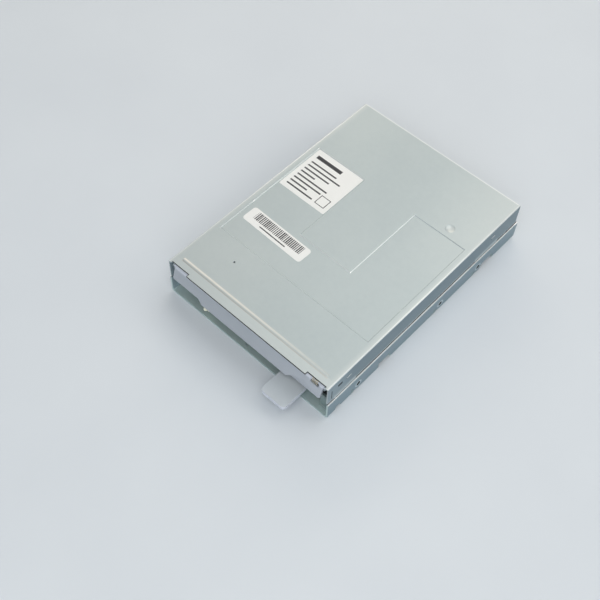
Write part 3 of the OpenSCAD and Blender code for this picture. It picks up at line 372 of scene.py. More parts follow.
def walls_painted_light(place, colour, roughness):
    """Painted shade on the walls, a painted highlight round each hole with painted shade in its bore,
    and a painted highlight and shade line on the wall tops.
    """
    side = place.axis(0)
    sideways = place.facing().axis(0)
    walls = on_walls(sideways)
    # Painted shade: the sideways faces are darker and bluer than the floor, deepest outside.
    side_shade = (side * sideways > 0).mix(inner_wall_shade, paint("#7e929d"))
    colour = (0.9 * walls).mix(colour, side_shade)
    for hole_y in side_holes_y:
        away = place.mapped(ring_share, (0, hole_y, side_hole_z)).length()
        # Painted highlight: a paler ring round each side hole.
        ring_highlight = away.rise(side_hole_r + hole_highlight_ring, side_hole_r + 0.6 * hole_highlight_ring)
        colour = (0.75 * ring_highlight * walls).mix(colour, paint("#cbd7db"))
        # Painted shade: the inside of each hole is painted dark.
        bore_shade = (1 - walls) * (away < 1.04 * side_hole_r)
        colour = bore_shade.mix(colour, paint("#23282a"))
    # Painted highlight on the outer part of each wall top, and a painted shade line on its inner part.
    rim = place.axis(2).rise(wall_top - rim_depth, wall_top - rim_depth / 2)
    outer_highlight = (half_width - side.size()).rise(rim_shade_from, rim_highlight_to)
    return rim.mix(colour, outer_highlight.mix(paint("#1d1f20"), paint("#fbfcfb"))), roughness


dress(zinc_sheet("chassis zinc", "#b9cdcb", "#c3d4d2", walls_painted_light), "chassis")
soften(0.22 * MM, "chassis")

# Top cover
# A lid of thinner sheet from the same stock, pressed with a crowned bead along the front,
# a shallow U-shaped panel and a dimple. Its skirts clip into the chassis walls. The skirts and
# the front edge carry painted shade, and the top, folds, bead and pressings painted highlights.
cover_underside = 24.5 * MM
skirt_foot = 12.4 * MM
skirt_depth = (49.6 * MM, 50.4 * MM)
foot_rim = (skirt_foot + 0.8 * MM, skirt_foot + 0.5 * MM)
lip_height = 3.2 * MM
lip_spans = ((4 * MM, 19 * MM), (107 * MM, 125 * MM))
# Where the painted shade on the outer skirts grows lighter toward the front.
skirt_shade_fade = (20 * MM, 3 * MM)
slot_run = (2.5 * MM, 9.7 * MM)
slot_rise = (14.2 * MM, 21.1 * MM)
front_half = 48.3 * MM
front_tab_half = 37.3 * MM
front_tab_y = -0.8 * MM
notch_back = 0.8 * MM
cut_depth = 0.2 * MM
bead_y = 5.2 * MM
bead_half = 45.6 * MM
bead_light = (80 * MM, -20 * MM)
fold_x = 49.6 * MM
fold_y = 140.8 * MM
tongue_front = 53.2 * MM
panel_back = 100.7 * MM
panel_edge = 0.6 * MM
dimple_at = Vector((33.7, 105.9, 0)) * MM
dimple_r = 2.5 * MM
# Painted light on the top: paler margins and broad sheens toward the back right and front left.
lit_sides = (46.2 * MM, 50.2 * MM)
lit_front = (5.4 * MM, 4.2 * MM)
top_sheens = {
    "back right": (0.7, (5 * MM, 55 * MM), (50 * MM, 140 * MM)),
    "front left": (0.4, (10 * MM, -30 * MM), (60 * MM, 20 * MM)),
}
# Painted shade for the slot sides and the cut front edge.
cut_shade = paint("#17191a")


def skirt_faces(place, facing, skirts, colour):
    """Painted shade on the skirts, lighter toward the front and spared on the flared lips as painted
    light, and a paler band along the foot.
    """
    side, along, up = (place.axis(number) for number in range(3))
    flare = up.rise(skirt_foot + lip_height, skirt_foot + 0.4 * lip_height)
    # Painted light: the flared lips are spared the skirts' painted shade.
    lit_lips = 0.75 * flare * sum(along.within(*span) for span in lip_spans)
    # Painted shade: the skirts are darker than the top, the outer faces most, lighter toward the front.
    outer_skirt_shade = along.rise(*skirt_shade_fade).mix(paint("#6e828d"), paint("#8b9ca5"))
    skirt_shade_tone = (side * facing.axis(0) > 0).mix(inner_wall_shade, outer_skirt_shade)
    colour = (0.9 * skirts * (1 - lit_lips)).mix(colour, skirt_shade_tone)
    return (0.8 * skirts * up.rise(*foot_rim)).mix(colour, paint("#c3d0d5"))


def top_painted_light(place, level, colour):
    """Painted light on the top: paler margins and broad sheens, with painted highlights on the folds at
    its edges.
    """
    side, along = place.axis(0), place.axis(1)
    across = side.size()
    # Painted light: paler margins and sheens on the upward faces.
    lit_margins = across.rise(*lit_sides).most(0.6 * along.rise(*lit_front))
    for amount, side_run, along_run in top_sheens.values():
        lit_margins = lit_margins.most(amount * side.rise(*side_run) * along.rise(*along_run))
    colour = (0.4 * lit_margins * level.rise(0.97, 0.99)).mix(colour, paint("#e3e6e1"))
    # Painted highlight along the folds at the side and back edges.
    fold_highlights = along.rise(fold_y - 0.5 * MM, fold_y).most(across.rise(fold_x - 0.6 * MM, fold_x))
    return (0.7 * fold_highlights * level.rise(0.5, 0.6)).mix(colour, paint("#f6f8f6"))


def pressed_form_light(place, level, pressed, colour):
    """Painted highlights on the bead's crest, the panel's edges and the dimple, and painted shade at
    the bead's foot.
    """
    side, along = place.axis(0), place.axis(1)
    on_bead = side.size() < bead_half
    # Painted highlight along the back of the bead's crest, fading toward the right.
    crest_highlight = along.rise(bead_y - 0.3 * MM, bead_y + 0.2 * MM)
    crest_highlight = crest_highlight * along.rise(bead_y + 1.7 * MM, bead_y + 0.7 * MM) * side.rise(*bead_light)
    colour = (0.55 * crest_highlight * on_bead).mix(colour, paint("#ebe5db"))
    # Painted shade along the bead's front foot.
    bead_foot_shade = along.within(bead_y - 1.2 * MM, bead_y - 0.4 * MM)
    colour = (0.35 * bead_foot_shade * on_bead).mix(colour, paint("#c9bfb2"))
    # Painted highlight on the panel's front and back pressed edges.
    front_edge_lit = along.within(tongue_front - panel_edge, tongue_front + panel_edge)
    back_edge_lit = along.within(panel_back - panel_edge, panel_back + panel_edge) * (side < 0)
    colour = (0.8 * pressed * (front_edge_lit + back_edge_lit)).mix(colour, paint("#eef2f0"))
    # Painted highlight on the dimple.
    from_dimple = place.mapped((1, 1, 0), dimple_at).length()
    dimple_highlight = from_dimple.rise(dimple_r, 0.7 * dimple_r) * level.rise(0.8, 0.9)
    return (0.3 * dimple_highlight).mix(colour, paint("#eef0ec"))


def cut_edge_shade(place, skirts, colour):
    """Painted shade on the sides of the skirt slots and on the sheet's cut edge over the door."""
    side, along, up = (place.axis(number) for number in range(3))
    across = side.size()
    # Painted shade on the sides of the skirt slots.
    slot_shade = (1 - skirts) * along.within(*slot_run) * up.within(*slot_rise)
    colour = (slot_shade * across.within(*skirt_depth)).mix(colour, cut_shade)
    # Painted shade on the cut edge of the front tab and notches, over the door.
    tab_edge = along < front_tab_y + cut_depth
    notch_edge = (along < notch_back + cut_depth) * (across > front_tab_half - cut_depth)
    over_door = (across < front_half) * (up > cover_underside - 0.05 * MM)
    return (tab_edge.most(notch_edge) * over_door).mix(colour, cut_shade)


def cover_faces(place, colour, roughness):
    """Painted shade on the skirts and cut edges, painted light on the top and pressings, and smoother
    pressed slopes.
    """
    facing = place.facing()
    level = facing.axis(2)
    skirts = on_walls(facing.axis(0))
    pressed = level.rise(0.84, 0.82) * (1 - skirts)
    colour = skirt_faces(place, facing, skirts, colour)
    colour = top_painted_light(place, level, colour)
    colour = pressed_form_light(place, level, pressed, colour)
    return cut_edge_shade(place, skirts, colour), roughness - 0.2 * pressed


dress(zinc_sheet("cover zinc", "#b4bfc0", "#bdc7c7", cover_faces), "top_cover")
soften(0.16 * MM, "top_cover")

# Labels
# Two white polyester stickers lie in the sunk panel. The square one carries plain ruled rows
# and the narrow one a row of plain upright bars over one ruled line.
row_pitch = 2.6 * MM
rows_left = -12.2 * MM
rows_foot = -13 * MM
rows_span = (-12.6 * MM, 7.8 * MM)
row_length = (9 * MM, 13 * MM)
heavy_bar = ((rows_left, 4 * MM), (9.6 * MM, 11.8 * MM))
frame_outside = ((6.4 * MM, 12.4 * MM), (-12.4 * MM, -6.4 * MM))
frame_inside = ((6.8 * MM, 12 * MM), (-12 * MM, -6.8 * MM))
frame_clear = (5.4 * MM, -5.6 * MM)
bar_step = 1.02 * MM
bars_span = ((-15 * MM, 15.6 * MM), (-1.2 * MM, 3.6 * MM))
ruled_line = ((-9 * MM, 8 * MM), (-3 * MM, -2.4 * MM))
bar_label_turn = math.radians(1.6)


def sticker(name, node, turn, marks):
    """White film with printed marks, drawn by a function of x and y from the sticker's middle."""
    low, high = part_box(node)
    place = new_finish(name)
    flat = place.mapped(middle=(low + high) / 2, turn=turn)
    printed = marks(flat.axis(0), flat.axis(1))
    fibre = place.noise(900, 3)
    film = place.noise(60, 3).mix(paint("#e9eae6"), paint("#f1f1ee"))
    return place.shade({
        "Base Color": printed.mix(film, paint("#35373a")),
        "Roughness": 0.42 + 0.12 * fibre - 0.1 * printed,
        "Normal": fibre.bump(0.02 * MM, 0.2),
    })


def block(x, y, spans):
    """A filled rectangle, from its spans in x and y."""
    return x.within(*spans[0]) * y.within(*spans[1])


def ruled_rows(x, y):
    """Eight rows of random length, a heavy bar above them and a thin frame at one corner."""
    count = (y - rows_foot) / row_pitch
    row = count.floor()
    length = row_length[0] + row_length[1] * row.chance()
    rows = (count - row).within(0.26, 0.6) * (x > rows_left) * (x - rows_left < length)
    off_frame = (x < frame_clear[0]) + (y > frame_clear[1]) > 0.5
    rows = rows * y.within(*rows_span) * off_frame
    return rows + block(x, y, heavy_bar) + block(x, y, frame_outside) - block(x, y, frame_inside)


def upright_bars(x, y):
    """Bars of slightly uneven width in one band, with a ruled line under them."""
    count = x / bar_step
    bar = count.floor()
    bars = (count - bar < 0.42 + 0.3 * bar.chance()) * block(x, y, bars_span)
    return bars + block(x, y, ruled_line)


dress(sticker("ruled sticker", "rating_label", 0, ruled_rows), "rating_label")
dress(sticker("bar sticker", "bar_label", bar_label_turn, upright_bars), "bar_label")

# Dust door and eject button
# Both are moulded in the same lavender-grey plastic with a fine matte mould texture. The
# button's paler tone is painted light, and both carry painted highlights on their edges.
# The door swings on pins in the cover's ears, and the button clips over the slide plate.
door_foot = 9.5 * MM
# Where the painted highlights on the door's top rim and right end lie.
door_top_highlight = (21 * MM, 22.6 * MM)
door_end_highlight = (0, 45 * MM)


def moulded(name, tone, light_tone, roughness, grain=900, edge_highlight=None):
    """Moulded plastic: a fine eroded mould texture over a slightly uneven colour."""
    place = new_finish(name)
    texture = place.noise(grain, 3, 0.6)
    flow = place.noise(55, 3)
    colour = flow.rise(0.25, 0.75).mix(paint(tone), paint(light_tone))
    # Painted highlight where the given function marks the edges.
    if edge_highlight:
        colour = edge_highlight(place).mix(colour, paint("#d6dae3"))
    return place.shade({
        "Base Color": colour,
        "Roughness": roughness + 0.1 * texture,
        "Normal": texture.bump(0.03 * MM, 0.2),
    })


def door_button_highlights(place):
    """Painted highlights on the door's top rim and right end and on the button's rounded edges."""
    up = place.axis(2)
    rounded = place.facing().axis(2).rise(0.98, 0.75) * (up < door_foot)
    right_end = place.axis(0).rise(*door_end_highlight) * (up > door_foot)
    return (0.85 * up.rise(*door_top_highlight) + rounded).most(0.22 * right_end)


dress(moulded("door plastic", "#a7adb4", "#aeb4ba", 0.4, edge_highlight=door_button_highlights), "dust_door")
# Painted light: the button is the door's plastic painted paler, as its upward face is lit.
dress(moulded("button plastic", "#bcc3c8", "#c3cace", 0.4, edge_highlight=door_button_highlights), "eject_button")
soften(0.25 * MM, "dust_door")
soften(0.7 * MM, "eject_button")

# Door spring
# A torsion spring of thin brass-coloured wire round the right end of the door's hinge.
# One leg lies on the door's back and the other under the cover.
hinge = Vector((0, 1.6, 22.4)) * MM
door_lean = math.radians(17)
coil_start = 40.2 * MM
coil_turns = 4
coil_pitch = 0.9 * MM
coil_r = 1.5 * MM
door_wire_r = 0.2 * MM
cover_gap = 0.05 * MM
leg_on_door = Vector((0.5, -3)) * MM

door_leg = math.sqrt(leg_on_door.length_squared - coil_r ** 2)
leg_turn = math.atan2(leg_on_door.y, leg_on_door.x) + math.acos(coil_r / leg_on_door.length) - door_lean
rise_to_cover = cover_underside - hinge.z - door_wire_r - cover_gap - coil_r * math.sin(leg_turn)
cover_leg = rise_to_cover / math.cos(leg_turn)


def drawn_wire(name, tone, light_tone):
    """Wire with the fine lengthwise marks of its drawing die."""
    place = new_finish(name)
    marks = place.noise(2600, 3)
    return place.shade({
        "Base Color": marks.rise(0.3, 0.7).mix(paint(tone), paint(light_tone)),
        "Metallic": 1.0,
        "Roughness": 0.2 + 0.14 * marks,
        "Normal": marks.bump(0.01 * MM, 0.2),
    })


def verts_of(parts):
    return [part for part in parts if isinstance(part, bmesh.types.BMVert)]


def edges_of(parts):
    return [part for part in parts if isinstance(part, bmesh.types.BMEdge)]


def wound_coil(turns, coil_r, pitch, wire_r):
    """Round wire wound about Z from the +X side. Gives the mesh and the rims of its two ends."""
    shape = bmesh.new()
    steps = 32
    across = Matrix.Translation((coil_r, 0, 0)) @ Matrix.Rotation(math.pi / 2, 4, "X")
    ring = bmesh.ops.create_circle(shape, segments=12, radius=wire_r, matrix=across)["verts"]
    first = list(shape.edges)
    wound = bmesh.ops.spin(shape, geom=ring + first, axis=(0, 0, 1), dvec=(0, 0, pitch / steps),
                           angle=math.tau * turns, steps=turns * steps)
    return shape, first, edges_of(wound["geom_last"])


def draw_leg(shape, rim, leg):
    """Draws wire or sheet on in a straight line from one rim, and gives the new rim."""
    drawn = bmesh.ops.extrude_edge_only(shape, edges=rim)["geom"]
    bmesh.ops.translate(shape, vec=leg, verts=verts_of(drawn))
    return edges_of(drawn)


def make_piece(name, shape, finish, crease=40):
    """Closes a mesh's open rims and makes it a piece of the drive."""
    bmesh.ops.holes_fill(shape, edges=[edge for edge in shape.edges if edge.is_boundary], sides=0)
    bmesh.ops.recalc_face_normals(shape, faces=shape.faces)
    mesh = bpy.data.meshes.new(name)
    shape.to_mesh(mesh)
    shape.free()
    mesh.shade_smooth()
    mesh.set_sharp_from_angle(angle=math.radians(crease))
    mesh.materials.append(finish)
    piece = bpy.data.objects.new(name, mesh)
    scene.collection.objects.link(piece)
    return piece


shape, first, last = wound_coil(coil_turns, coil_r, coil_pitch, door_wire_r)
draw_leg(shape, first, (0, -door_leg, 0))
draw_leg(shape, last, (0, cover_leg, 0))
lying_along_x = Matrix(((0, 0, 1, 0), (1, 0, 0, 0), (0, 1, 0, 0), (0, 0, 0, 1)))
bmesh.ops.transform(shape, verts=shape.verts, matrix=(
    Matrix.Translation(hinge + Vector((coil_start, 0, 0)))
    @ lying_along_x
    @ Matrix.Rotation(leg_turn, 4, "Z")
))
brass_wire = drawn_wire("brass spring wire", "#c7bb9d", "#e1d8c4")
door_coil = make_piece("door_coil", shape, brass_wire)
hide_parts("door_spring")
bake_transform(door_coil)

# Stop tab
# A tab folded up from the chassis floor behind the door's right end. It keeps a disk from
# being pushed in crooked beside the carrier.
stop_x = (43.6 * MM, 49.75 * MM)
stop_face = 3.2 * MM
stop_top = 10.4 * MM
stop_fold = 0.8 * MM
stop_sheet = 1 * MM
stop_corner = 1.2 * MM
floor_top = 1.05 * MM


def bend(shape, rim, axis, middle, angle, steps):
    """Carries a rim of wire or sheet round a bend, and gives the new rim."""
    corners = list(dict.fromkeys(vert for edge in rim for vert in edge.verts))
    bent = bmesh.ops.spin(shape, geom=corners + rim, axis=axis, cent=middle, angle=angle, steps=steps)
    return edges_of(bent["geom_last"])


shape = bmesh.new()
verts = [shape.verts.new((x, stop_face - stop_fold, floor_top)) for x in stop_x]
fold_middle = (0, stop_face - stop_fold, floor_top + stop_fold)
rim = bend(shape, [shape.edges.new(verts)], (1, 0, 0), fold_middle, math.pi / 2, 6)
draw_leg(shape, rim, (0, 0, stop_top - floor_top - stop_fold))
corners = [vert for vert in shape.verts if vert.co.z > stop_top - 0.1 * MM]
bmesh.ops.bevel(shape, geom=corners, offset=stop_corner, segments=5, profile=0.5, affect="VERTICES",
                material=-1)
for face in shape.faces:
    if face.normal.y > 0:
        face.normal_flip()
bmesh.ops.solidify(shape, geom=shape.faces[:], thickness=stop_sheet)
# Painted shade: the tab is the chassis zinc painted darker, as it stands in shade behind the door.
shaded_tab_zinc = zinc_sheet("shaded tab zinc", "#869695", "#91a09f")
stop_tab = make_piece("stop_tab", shape, shaded_tab_zinc)
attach(stop_tab, "base")

# Eject slide
# A stamped plate under the disk carrier whose upright sides hold sloping cam slots.
# Headed pins guide it, and two steel tension springs draw it forward.
dress(zinc_sheet("plate zinc", "#aeb3b4", "#bcc1c1"), "eject_slide", "disk_carrier", "carrier_guides",
      "rotor_cup", "hub_disc", "rod_clamps", "stepper_motor", "stepper_bracket")
soften(0.1 * MM, "eject_slide", "disk_carrier", "carrier_guides")


def ground_steel(name):
    """Turned and ground steel with fine rings and a few dull spots."""
    place = new_finish(name)
    rings = place.mapped((900, 4000, 4000)).noise(1, 3)
    spots = place.noise(160, 3)
    return place.shade({
        "Base Color": spots.mix(paint("#c2c5c8"), paint("#d2d5d7")),
        "Metallic": 1.0,
        "Roughness": 0.16 + 0.1 * rings + 0.06 * spots,
        "Normal": rings.bump(0.01 * MM, 0.15),
    })


pin_steel = ground_steel("ground steel")
dress(pin_steel, "slide_guide_pins", "carrier_pins", "lever_rivet", "spindle_shaft", "drive_pin",
      "arm_pivot_pin", "guide_rod", "lead_screw", "board_screws", "bracket_screws", "power_pins")

spring_turns = 14
spring_r = 1.5 * MM
spring_wire_r = 0.25 * MM
spring_x = 39 * MM
spring_z = 8.1 * MM
post_edge = 21.12 * MM
hook_edge = 44.98 * MM
end_bend = 0.5 * MM
end_lead = 0.55 * MM
spring_pitch = (hook_edge - post_edge - 2 * (end_bend + end_lead)) / spring_turns
steel_wire = drawn_wire("steel spring wire", "#8e9195", "#a9acb0")

for side, node in ((-1, "left_slide_spring"), (1, "right_slide_spring")):
    shape, first, last = wound_coil(spring_turns, spring_r, spring_pitch, spring_wire_r)
    for rim, height, lead in ((first, -end_bend, -end_lead),
                              (last, spring_turns * spring_pitch + end_bend, end_lead)):
        rim = bend(shape, rim, (1, 0, 0), (spring_r, 0, height), math.pi / 2, 6)
        draw_leg(shape, rim, (0, 0, lead))
    bmesh.ops.transform(shape, verts=shape.verts, matrix=(
        Matrix.Translation((side * spring_x, post_edge + end_bend + end_lead, spring_z))
        @ Matrix.Rotation(-math.pi / 2, 4, "X")
        @ Matrix.Rotation(math.pi / 2, 4, "Z")
    ))
    coil = make_piece(node + "_coil", shape, steel_wire)
    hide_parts(node)
    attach(coil, "base")
    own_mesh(coil)

# Shutter lever
# A natural-white moulded lever riveted on the carrier's roof. A small torsion spring
# round the rivet swings it back when the disk leaves.
white_plastic = moulded("white plastic", "#d6d3c7", "#dedbd0", 0.38)
dress(white_plastic, "shutter_lever", "screw_follower", "power_connector", "head_cable_socket",
      "write_protect_plunger", "density_plunger", "disk_plunger")
soften(0.15 * MM, "shutter_lever", "screw_follower")

lever_pivot = Vector((40, 88, 20.85)) * MM
lever_coil_turns = 2
lever_coil_r = 2.05 * MM
lever_coil_pitch = 0.8 * MM
lever_wire_r = 0.18 * MM
lever_leg = 1.6 * MM
shape, first, last = wound_coil(lever_coil_turns, lever_coil_r, lever_coil_pitch, lever_wire_r)
draw_leg(shape, first, (0, -lever_leg, 0))
draw_leg(shape, last, (0, lever_leg, 0))
bmesh.ops.translate(shape, vec=lever_pivot, verts=shape.verts)
lever_coil = make_piece("lever_coil", shape, steel_wire)
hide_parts("lever_spring")
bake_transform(lever_coil)


# Boards
# Two laminate boards in green solder mask: a motor board with a strip to the front sensors,
# and the main board across the back. Copper tracks show through the mask.
def laminate():
    place = new_finish("green laminate")
    weave = place.noise(1400, 2)
    cells = place.add("ShaderNodeTexBrick", {
        "Vector": place, "Scale": 150, "Mortar Size": 0.045, "Brick Width": 0.9, "Row Height": 0.35,
        "Color1": (1, 1, 1, 1), "Color2": (1, 1, 1, 1), "Mortar": (0, 0, 0, 1)}, {"offset": 0.37})
    tracks = 1 - cells
    holes = place.add("ShaderNodeTexVoronoi", {"Vector": place, "Scale": 320})
    pads = holes.rise(0.16, 0.12)
    mask = (0.6 * weave + 0.4 * place.noise(40)).mix(paint("#2a4133"), paint("#334c3c"))
    copper = tracks.mix(mask, paint("#486350"))
    return place.shade({
        "Base Color": pads.mix(copper, paint("#c3c6c4")),
        "Roughness": 0.34 + 0.12 * weave - 0.08 * tracks,
        "Metallic": 0.7 * pads,
        "Normal": (tracks + pads).bump(0.03 * MM, 0.35),
    })


dress(laminate(), "motor_board", "main_board")
soften(0.1 * MM, "motor_board", "main_board")

# Spindle motor
# A flat brushless motor: a brass bush pressed into the chassis, a stacked iron core with nine
# copper coils, and a rotor cup with a ring magnet under the hub that grips the disk.
spindle = Vector((0, 58, 0)) * MM
sheet_thickness = 0.35 * MM
winding_pitch = 0.2 * MM


def turned_brass():
    place = new_finish("turned brass")
    rings = place.mapped((900, 900, 5000)).noise(1, 3)
    tarnish = place.noise(110, 4)
    return place.shade({
        "Base Color": tarnish.rise(0.3, 0.7).mix(paint("#b3935a"), paint("#cdb074")),
        "Metallic": 1.0,
        "Roughness": 0.2 + 0.12 * rings + 0.08 * tarnish,
        "Normal": rings.bump(0.01 * MM, 0.2),
    })


def ribs(position, pitch):
    """Rounded ridges that repeat along a position, from 0 to 1."""
    wave = position * (math.tau / pitch)
    return 0.5 + 0.5 * wave.sum("SINE", wave)


def stacked_iron():
    place = new_finish("stacked iron")
    sheets = ribs(place.axis(2), sheet_thickness)
    scale = place.noise(300, 3)
    return place.shade({
        "Base Color": scale.mix(paint("#5d6166"), paint("#777c82")),
        "Metallic": 0.8,
        "Roughness": 0.4 + 0.15 * scale,
        "Normal": sheets.bump(0.05 * MM, 0.6),
    })


def enamelled_windings():
    """Copper wire laid round each tooth, so its turns follow the distance from the spindle."""
    place = new_finish("copper windings")
    turns = ribs(place.mapped((1, 1, 0), spindle).length(), winding_pitch)
    return place.shade({
        "Base Color": (0.7 * turns + 0.3 * place.noise(200)).mix(paint("#7a4420"), paint("#c07a3e")),
        "Metallic": 0.8,
        "Roughness": 0.34 - 0.1 * turns,
        "Normal": turns.bump(0.08 * MM, 0.8),
    })


dress(turned_brass(), "spindle_bush", "data_pins")
dress(stacked_iron(), "stator_core")
dress(enamelled_windings(), "stator_coils")
dress(moulded("ferrite", "#262628", "#323335", 0.5, 1500), "rotor_magnet", "chuck_magnet")
soften(0.35 * MM, "stator_coils")
soften(0.15 * MM, "rotor_cup", "hub_disc", "chuck_magnet", "spindle_shaft", "drive_pin")

# Head carriage
# A black moulded carriage slides on a ground rod and carries the lower head. A bare alloy arm,
# pivoted behind it, brings the upper head down. A white follower rides in the lead screw.
black_plastic = moulded("black plastic", "#28292b", "#303133", 0.42)
dress(black_plastic, "head_carriage", "index_sensor", "track_zero_sensor", "data_connector",
      "sense_switches", "led_holder")
dress(zinc_sheet("bare alloy", "#a6a9ab", "#b4b7b9"), "head_arm")
dress(moulded("polished ceramic", "#3b3d41", "#4a4d51", 0.12, 400), "lower_head", "upper_head")
soften(0.2 * MM, "head_carriage", "lower_head", "upper_head", "index_sensor", "track_zero_sensor")
soften(0.1 * MM, "head_arm", "arm_pivot_pin", "guide_rod", "rod_clamps")

# Stepper and lead screw
# A small can motor on a folded bracket turns a ground screw with one deep round groove.
# The follower's tooth sits in the groove, so each turn moves the heads by one pitch.
soften(0.2 * MM, "stepper_motor")
soften(0.1 * MM, "stepper_bracket")

screw_axis = Vector((-16, 0, 9)) * MM
screw_start = screw_axis + Vector((0, 80.2, 0)) * MM
screw_length = 47.8 * MM
screw_r = 1.5 * MM
screw_segments = 40
groove_depth = 0.4 * MM
groove_pitch = 3.75 * MM
groove_share = 0.3
tip_r = 1 * MM
tip_length = 1.3 * MM
steps_per_turn = 28
steps = round(screw_length / groove_pitch * steps_per_turn)

shape = bmesh.new()
across = Matrix.Translation(screw_start) @ Matrix.Rotation(math.pi / 2, 4, "X")
rim = bmesh.ops.create_circle(shape, segments=screw_segments, radius=screw_r, matrix=across)["verts"]
for vert in rim:
    spoke = vert.co - screw_start
    share = abs(math.atan2(spoke.z, spoke.x)) / math.pi / groove_share
    if share < 1:
        vert.co -= spoke.normalized() * groove_depth * math.sqrt(1 - share ** 2)
front_rim = list(shape.edges)
bmesh.ops.spin(shape, geom=rim + front_rim, axis=(0, 1, 0), cent=screw_axis,
               dvec=(0, screw_length / steps, 0), angle=math.tau * steps / steps_per_turn, steps=steps)
tip = bmesh.ops.extrude_edge_only(shape, edges=front_rim)["geom"]
for vert in verts_of(tip):
    spoke = Vector((vert.co.x - screw_axis.x, 0, vert.co.z - screw_axis.z))
    vert.co = screw_axis + spoke.normalized() * tip_r + Vector((0, vert.co.y, 0))
draw_leg(shape, edges_of(tip), (0, -tip_length, 0))
threaded_screw = make_piece("threaded_screw", shape, pin_steel, crease=55)
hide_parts("lead_screw")
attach(threaded_screw, "screw")

# Main board fittings
# Black chips on tinned legs, sleeved capacitors, and two headers whose posts face the back.
# The legs are bent from thin strip and stand on the board beside each chip.
dress(black_plastic, "board_chips")
soften(0.15 * MM, "board_chips")
soften(0.2 * MM, "data_connector", "power_connector", "head_cable_socket", "sense_switches",
       "led_holder")
soften(0.12 * MM, "data_pins", "power_pins")

can_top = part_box("board_capacitors")[1].z
place = new_finish("sleeved capacitor")
bare_can = place.axis(2).rise(can_top - 0.5 * MM, can_top - 0.4 * MM)
shrink = place.noise(500, 3)
dress(place.shade({
    "Base Color": bare_can.mix(shrink.mix(paint("#3c4f78"), paint("#4a5f8a")), paint("#bfc2c4")),
    "Metallic": 0.9 * bare_can,
    "Roughness": 0.28 + 0.12 * shrink,
    "Normal": shrink.bump(0.04 * MM, 0.2),
}), "board_capacitors")
soften(0.4 * MM, "board_capacitors")

board_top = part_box("main_board")[1].z
leg_pitch = 1.27 * MM
leg_width = 0.42 * MM
leg_thickness = 0.16 * MM
leg_reach = 1.1 * MM
chips = (
    (Vector((-37, 112, 0)) * MM, 13 * MM, 13 * MM, 1.8 * MM),
    (Vector((36, 110.5, 0)) * MM, 12 * MM, 9 * MM, 1.6 * MM),
    (Vector((37.5, 119, 0)) * MM, 7 * MM, 5 * MM, 1.4 * MM),
)
shape = bmesh.new()
for middle, width, length, thick in chips:
    bends = ((0, thick / 2), (0.35 * leg_reach, thick / 2), (0.6 * leg_reach, leg_thickness),
             (leg_reach, leg_thickness))
    count = int(width / leg_pitch) - 1
    for index in range(count):
        left = middle.x + (index - (count - 1) / 2) * leg_pitch - leg_width / 2
        for side in (-1, 1):
            edge = middle.y + side * length / 2
            verts = [shape.verts.new((left, edge + side * out, board_top + up)) for out, up in bends]
            edges = [shape.edges.new(pair) for pair in zip(verts, verts[1:])]
            draw_leg(shape, edges, (leg_width, 0, 0))
bmesh.ops.recalc_face_normals(shape, faces=shape.faces)
bmesh.ops.solidify(shape, geom=shape.faces[:], thickness=leg_thickness / 2)
chip_legs = make_piece("chip_legs", shape, pin_steel)
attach(chip_legs, "base")

# Head cable
# A flat amber film with copper tracks that arches from the carriage to its board socket
# and rolls along as the heads step.
cable_x = (12.5 * MM, 18.3 * MM)
cable_y = (119 * MM, 133 * MM)
cable_z = (10.5 * MM, 5.8 * MM)
arch_z = 12 * MM
arch_middle = (0, (cable_y[0] + cable_y[1]) / 2, arch_z)
film_thickness = 0.2 * MM
track_pitch = 0.58 * MM

shape = bmesh.new()
verts = [shape.verts.new((x, cable_y[0], cable_z[0])) for x in cable_x]
rim = draw_leg(shape, [shape.edges.new(verts)], (0, 0, arch_z - cable_z[0]))
rim = bend(shape, rim, (-1, 0, 0), arch_middle, math.pi, 28)
draw_leg(shape, rim, (0, 0, cable_z[1] - arch_z))
bmesh.ops.recalc_face_normals(shape, faces=shape.faces)
bmesh.ops.solidify(shape, geom=shape.faces[:], thickness=film_thickness)

place = new_finish("amber film")
tracks = ribs(place.axis(0), track_pitch).rise(0.45, 0.6)
film = place.noise(260, 3)
amber_film = place.shade({
    "Base Color": tracks.mix(paint("#8a5a24"), film.mix(paint("#a96f35"), paint("#b87c3f"))),
    "Roughness": 0.24 + 0.1 * film,
    "Normal": tracks.bump(0.03 * MM, 0.4),
})
film_cable = make_piece("film_cable", shape, amber_film)
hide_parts("head_cable")
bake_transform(film_cable)

# Status lamp
# A clear pale moulded lamp in a black holder on the motor board's strip. Its rounded tip
# looks out under the door at the left. Its opaque near-white colour is a painted highlight for
# the glint on the clear lens.
place = new_finish("lamp lens")
swirl = place.noise(700, 2)
dress(place.shade({
    "Base Color": swirl.mix(paint("#f6f4d2"), paint("#fdfce8")),
    "Roughness": 0.06 + 0.05 * swirl,
    "IOR": 1.5,
}), "status_led")
soften(0.15 * MM, "status_led")

# Screws
# Plated pan-head screws with a cross recess hold the boards, the clamps and the bracket.
# They are headed from wire, and the recess is punched into the crown.
head_r = 1.9 * MM
head_h = 1.1 * MM
crown_r = 0.55 * head_h
shank_r = 0.86 * MM
shank_end_r = 0.7 * shank_r
recess_half = 0.27 * MM
recess_reach = 1.05 * MM
recess_depth = 0.55 * MM


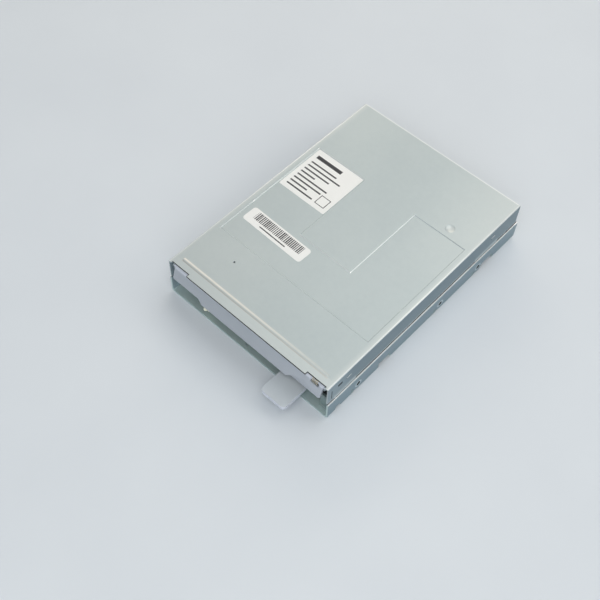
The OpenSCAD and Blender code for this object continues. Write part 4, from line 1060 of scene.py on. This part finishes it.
def pan_head_screw(grip):
    """A mesh of one screw, its head seated at the origin."""
    shape = bmesh.new()
    up = Matrix.Translation((0, 0, head_h / 2))
    bmesh.ops.create_cone(shape, cap_ends=True, segments=40, radius1=head_r, radius2=head_r,
                          depth=head_h, matrix=up)
    crown = [edge for edge in shape.edges if all(vert.co.z > 0.9 * head_h for vert in edge.verts)]
    bmesh.ops.bevel(shape, geom=crown, offset=crown_r, segments=5, profile=0.5, affect="EDGES",
                    material=-1)
    for axis in (Vector((1, 0, 0)), Vector((0, 1, 0))):
        for reach in (-recess_reach, -recess_half, recess_half, recess_reach):
            top = [face for face in shape.faces if face.normal.z > 0.99]
            parts = top + list({part for face in top for part in (*face.edges, *face.verts)})
            bmesh.ops.bisect_plane(shape, geom=parts, plane_co=axis * reach, plane_no=axis)
    cross = []
    for face in shape.faces:
        middle = face.calc_center_median()
        near, far = sorted((abs(middle.x), abs(middle.y)))
        if face.normal.z > 0.99 and near < recess_half and far < recess_reach:
            cross.append(face)
    sunk = bmesh.ops.extrude_face_region(shape, geom=cross)["geom"]
    bmesh.ops.delete(shape, geom=cross, context="FACES")
    bmesh.ops.translate(shape, vec=(0, 0, -recess_depth), verts=verts_of(sunk))
    down = Matrix.Translation((0, 0, -grip / 2))
    bmesh.ops.create_cone(shape, cap_ends=True, segments=24, radius1=shank_end_r, radius2=shank_r,
                          depth=grip, matrix=down)
    mesh = bpy.data.meshes.new("pan head screw")
    shape.to_mesh(mesh)
    shape.free()
    return mesh


board_screws_at = [(x, y) for x in (-26.5, 26.5) for y in (33.5, 75)]
board_screws_at += [(x, y) for x in (-43.3, 43.3) for y in (102.8, 137.8)]
bracket_screws_at = [(-16, 86), (-16, 108), (7.6, 81.1), (7.6, 126.9)]
for node, places, seat, grip in (("board_screws", board_screws_at, 3.2, 2.7),
                                 ("bracket_screws", bracket_screws_at, 2, 1.5)):
    one = pan_head_screw(grip * MM)
    shape = bmesh.new()
    for x, y in places:
        before = len(shape.verts)
        shape.from_mesh(one)
        shape.verts.ensure_lookup_table()
        bmesh.ops.translate(shape, vec=Vector((x, y, seat)) * MM, verts=shape.verts[before:])
    bpy.data.meshes.remove(one)
    screws = make_piece("cross_" + node, shape, pin_steel, crease=30)
    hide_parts(node)
    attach(screws, "base")
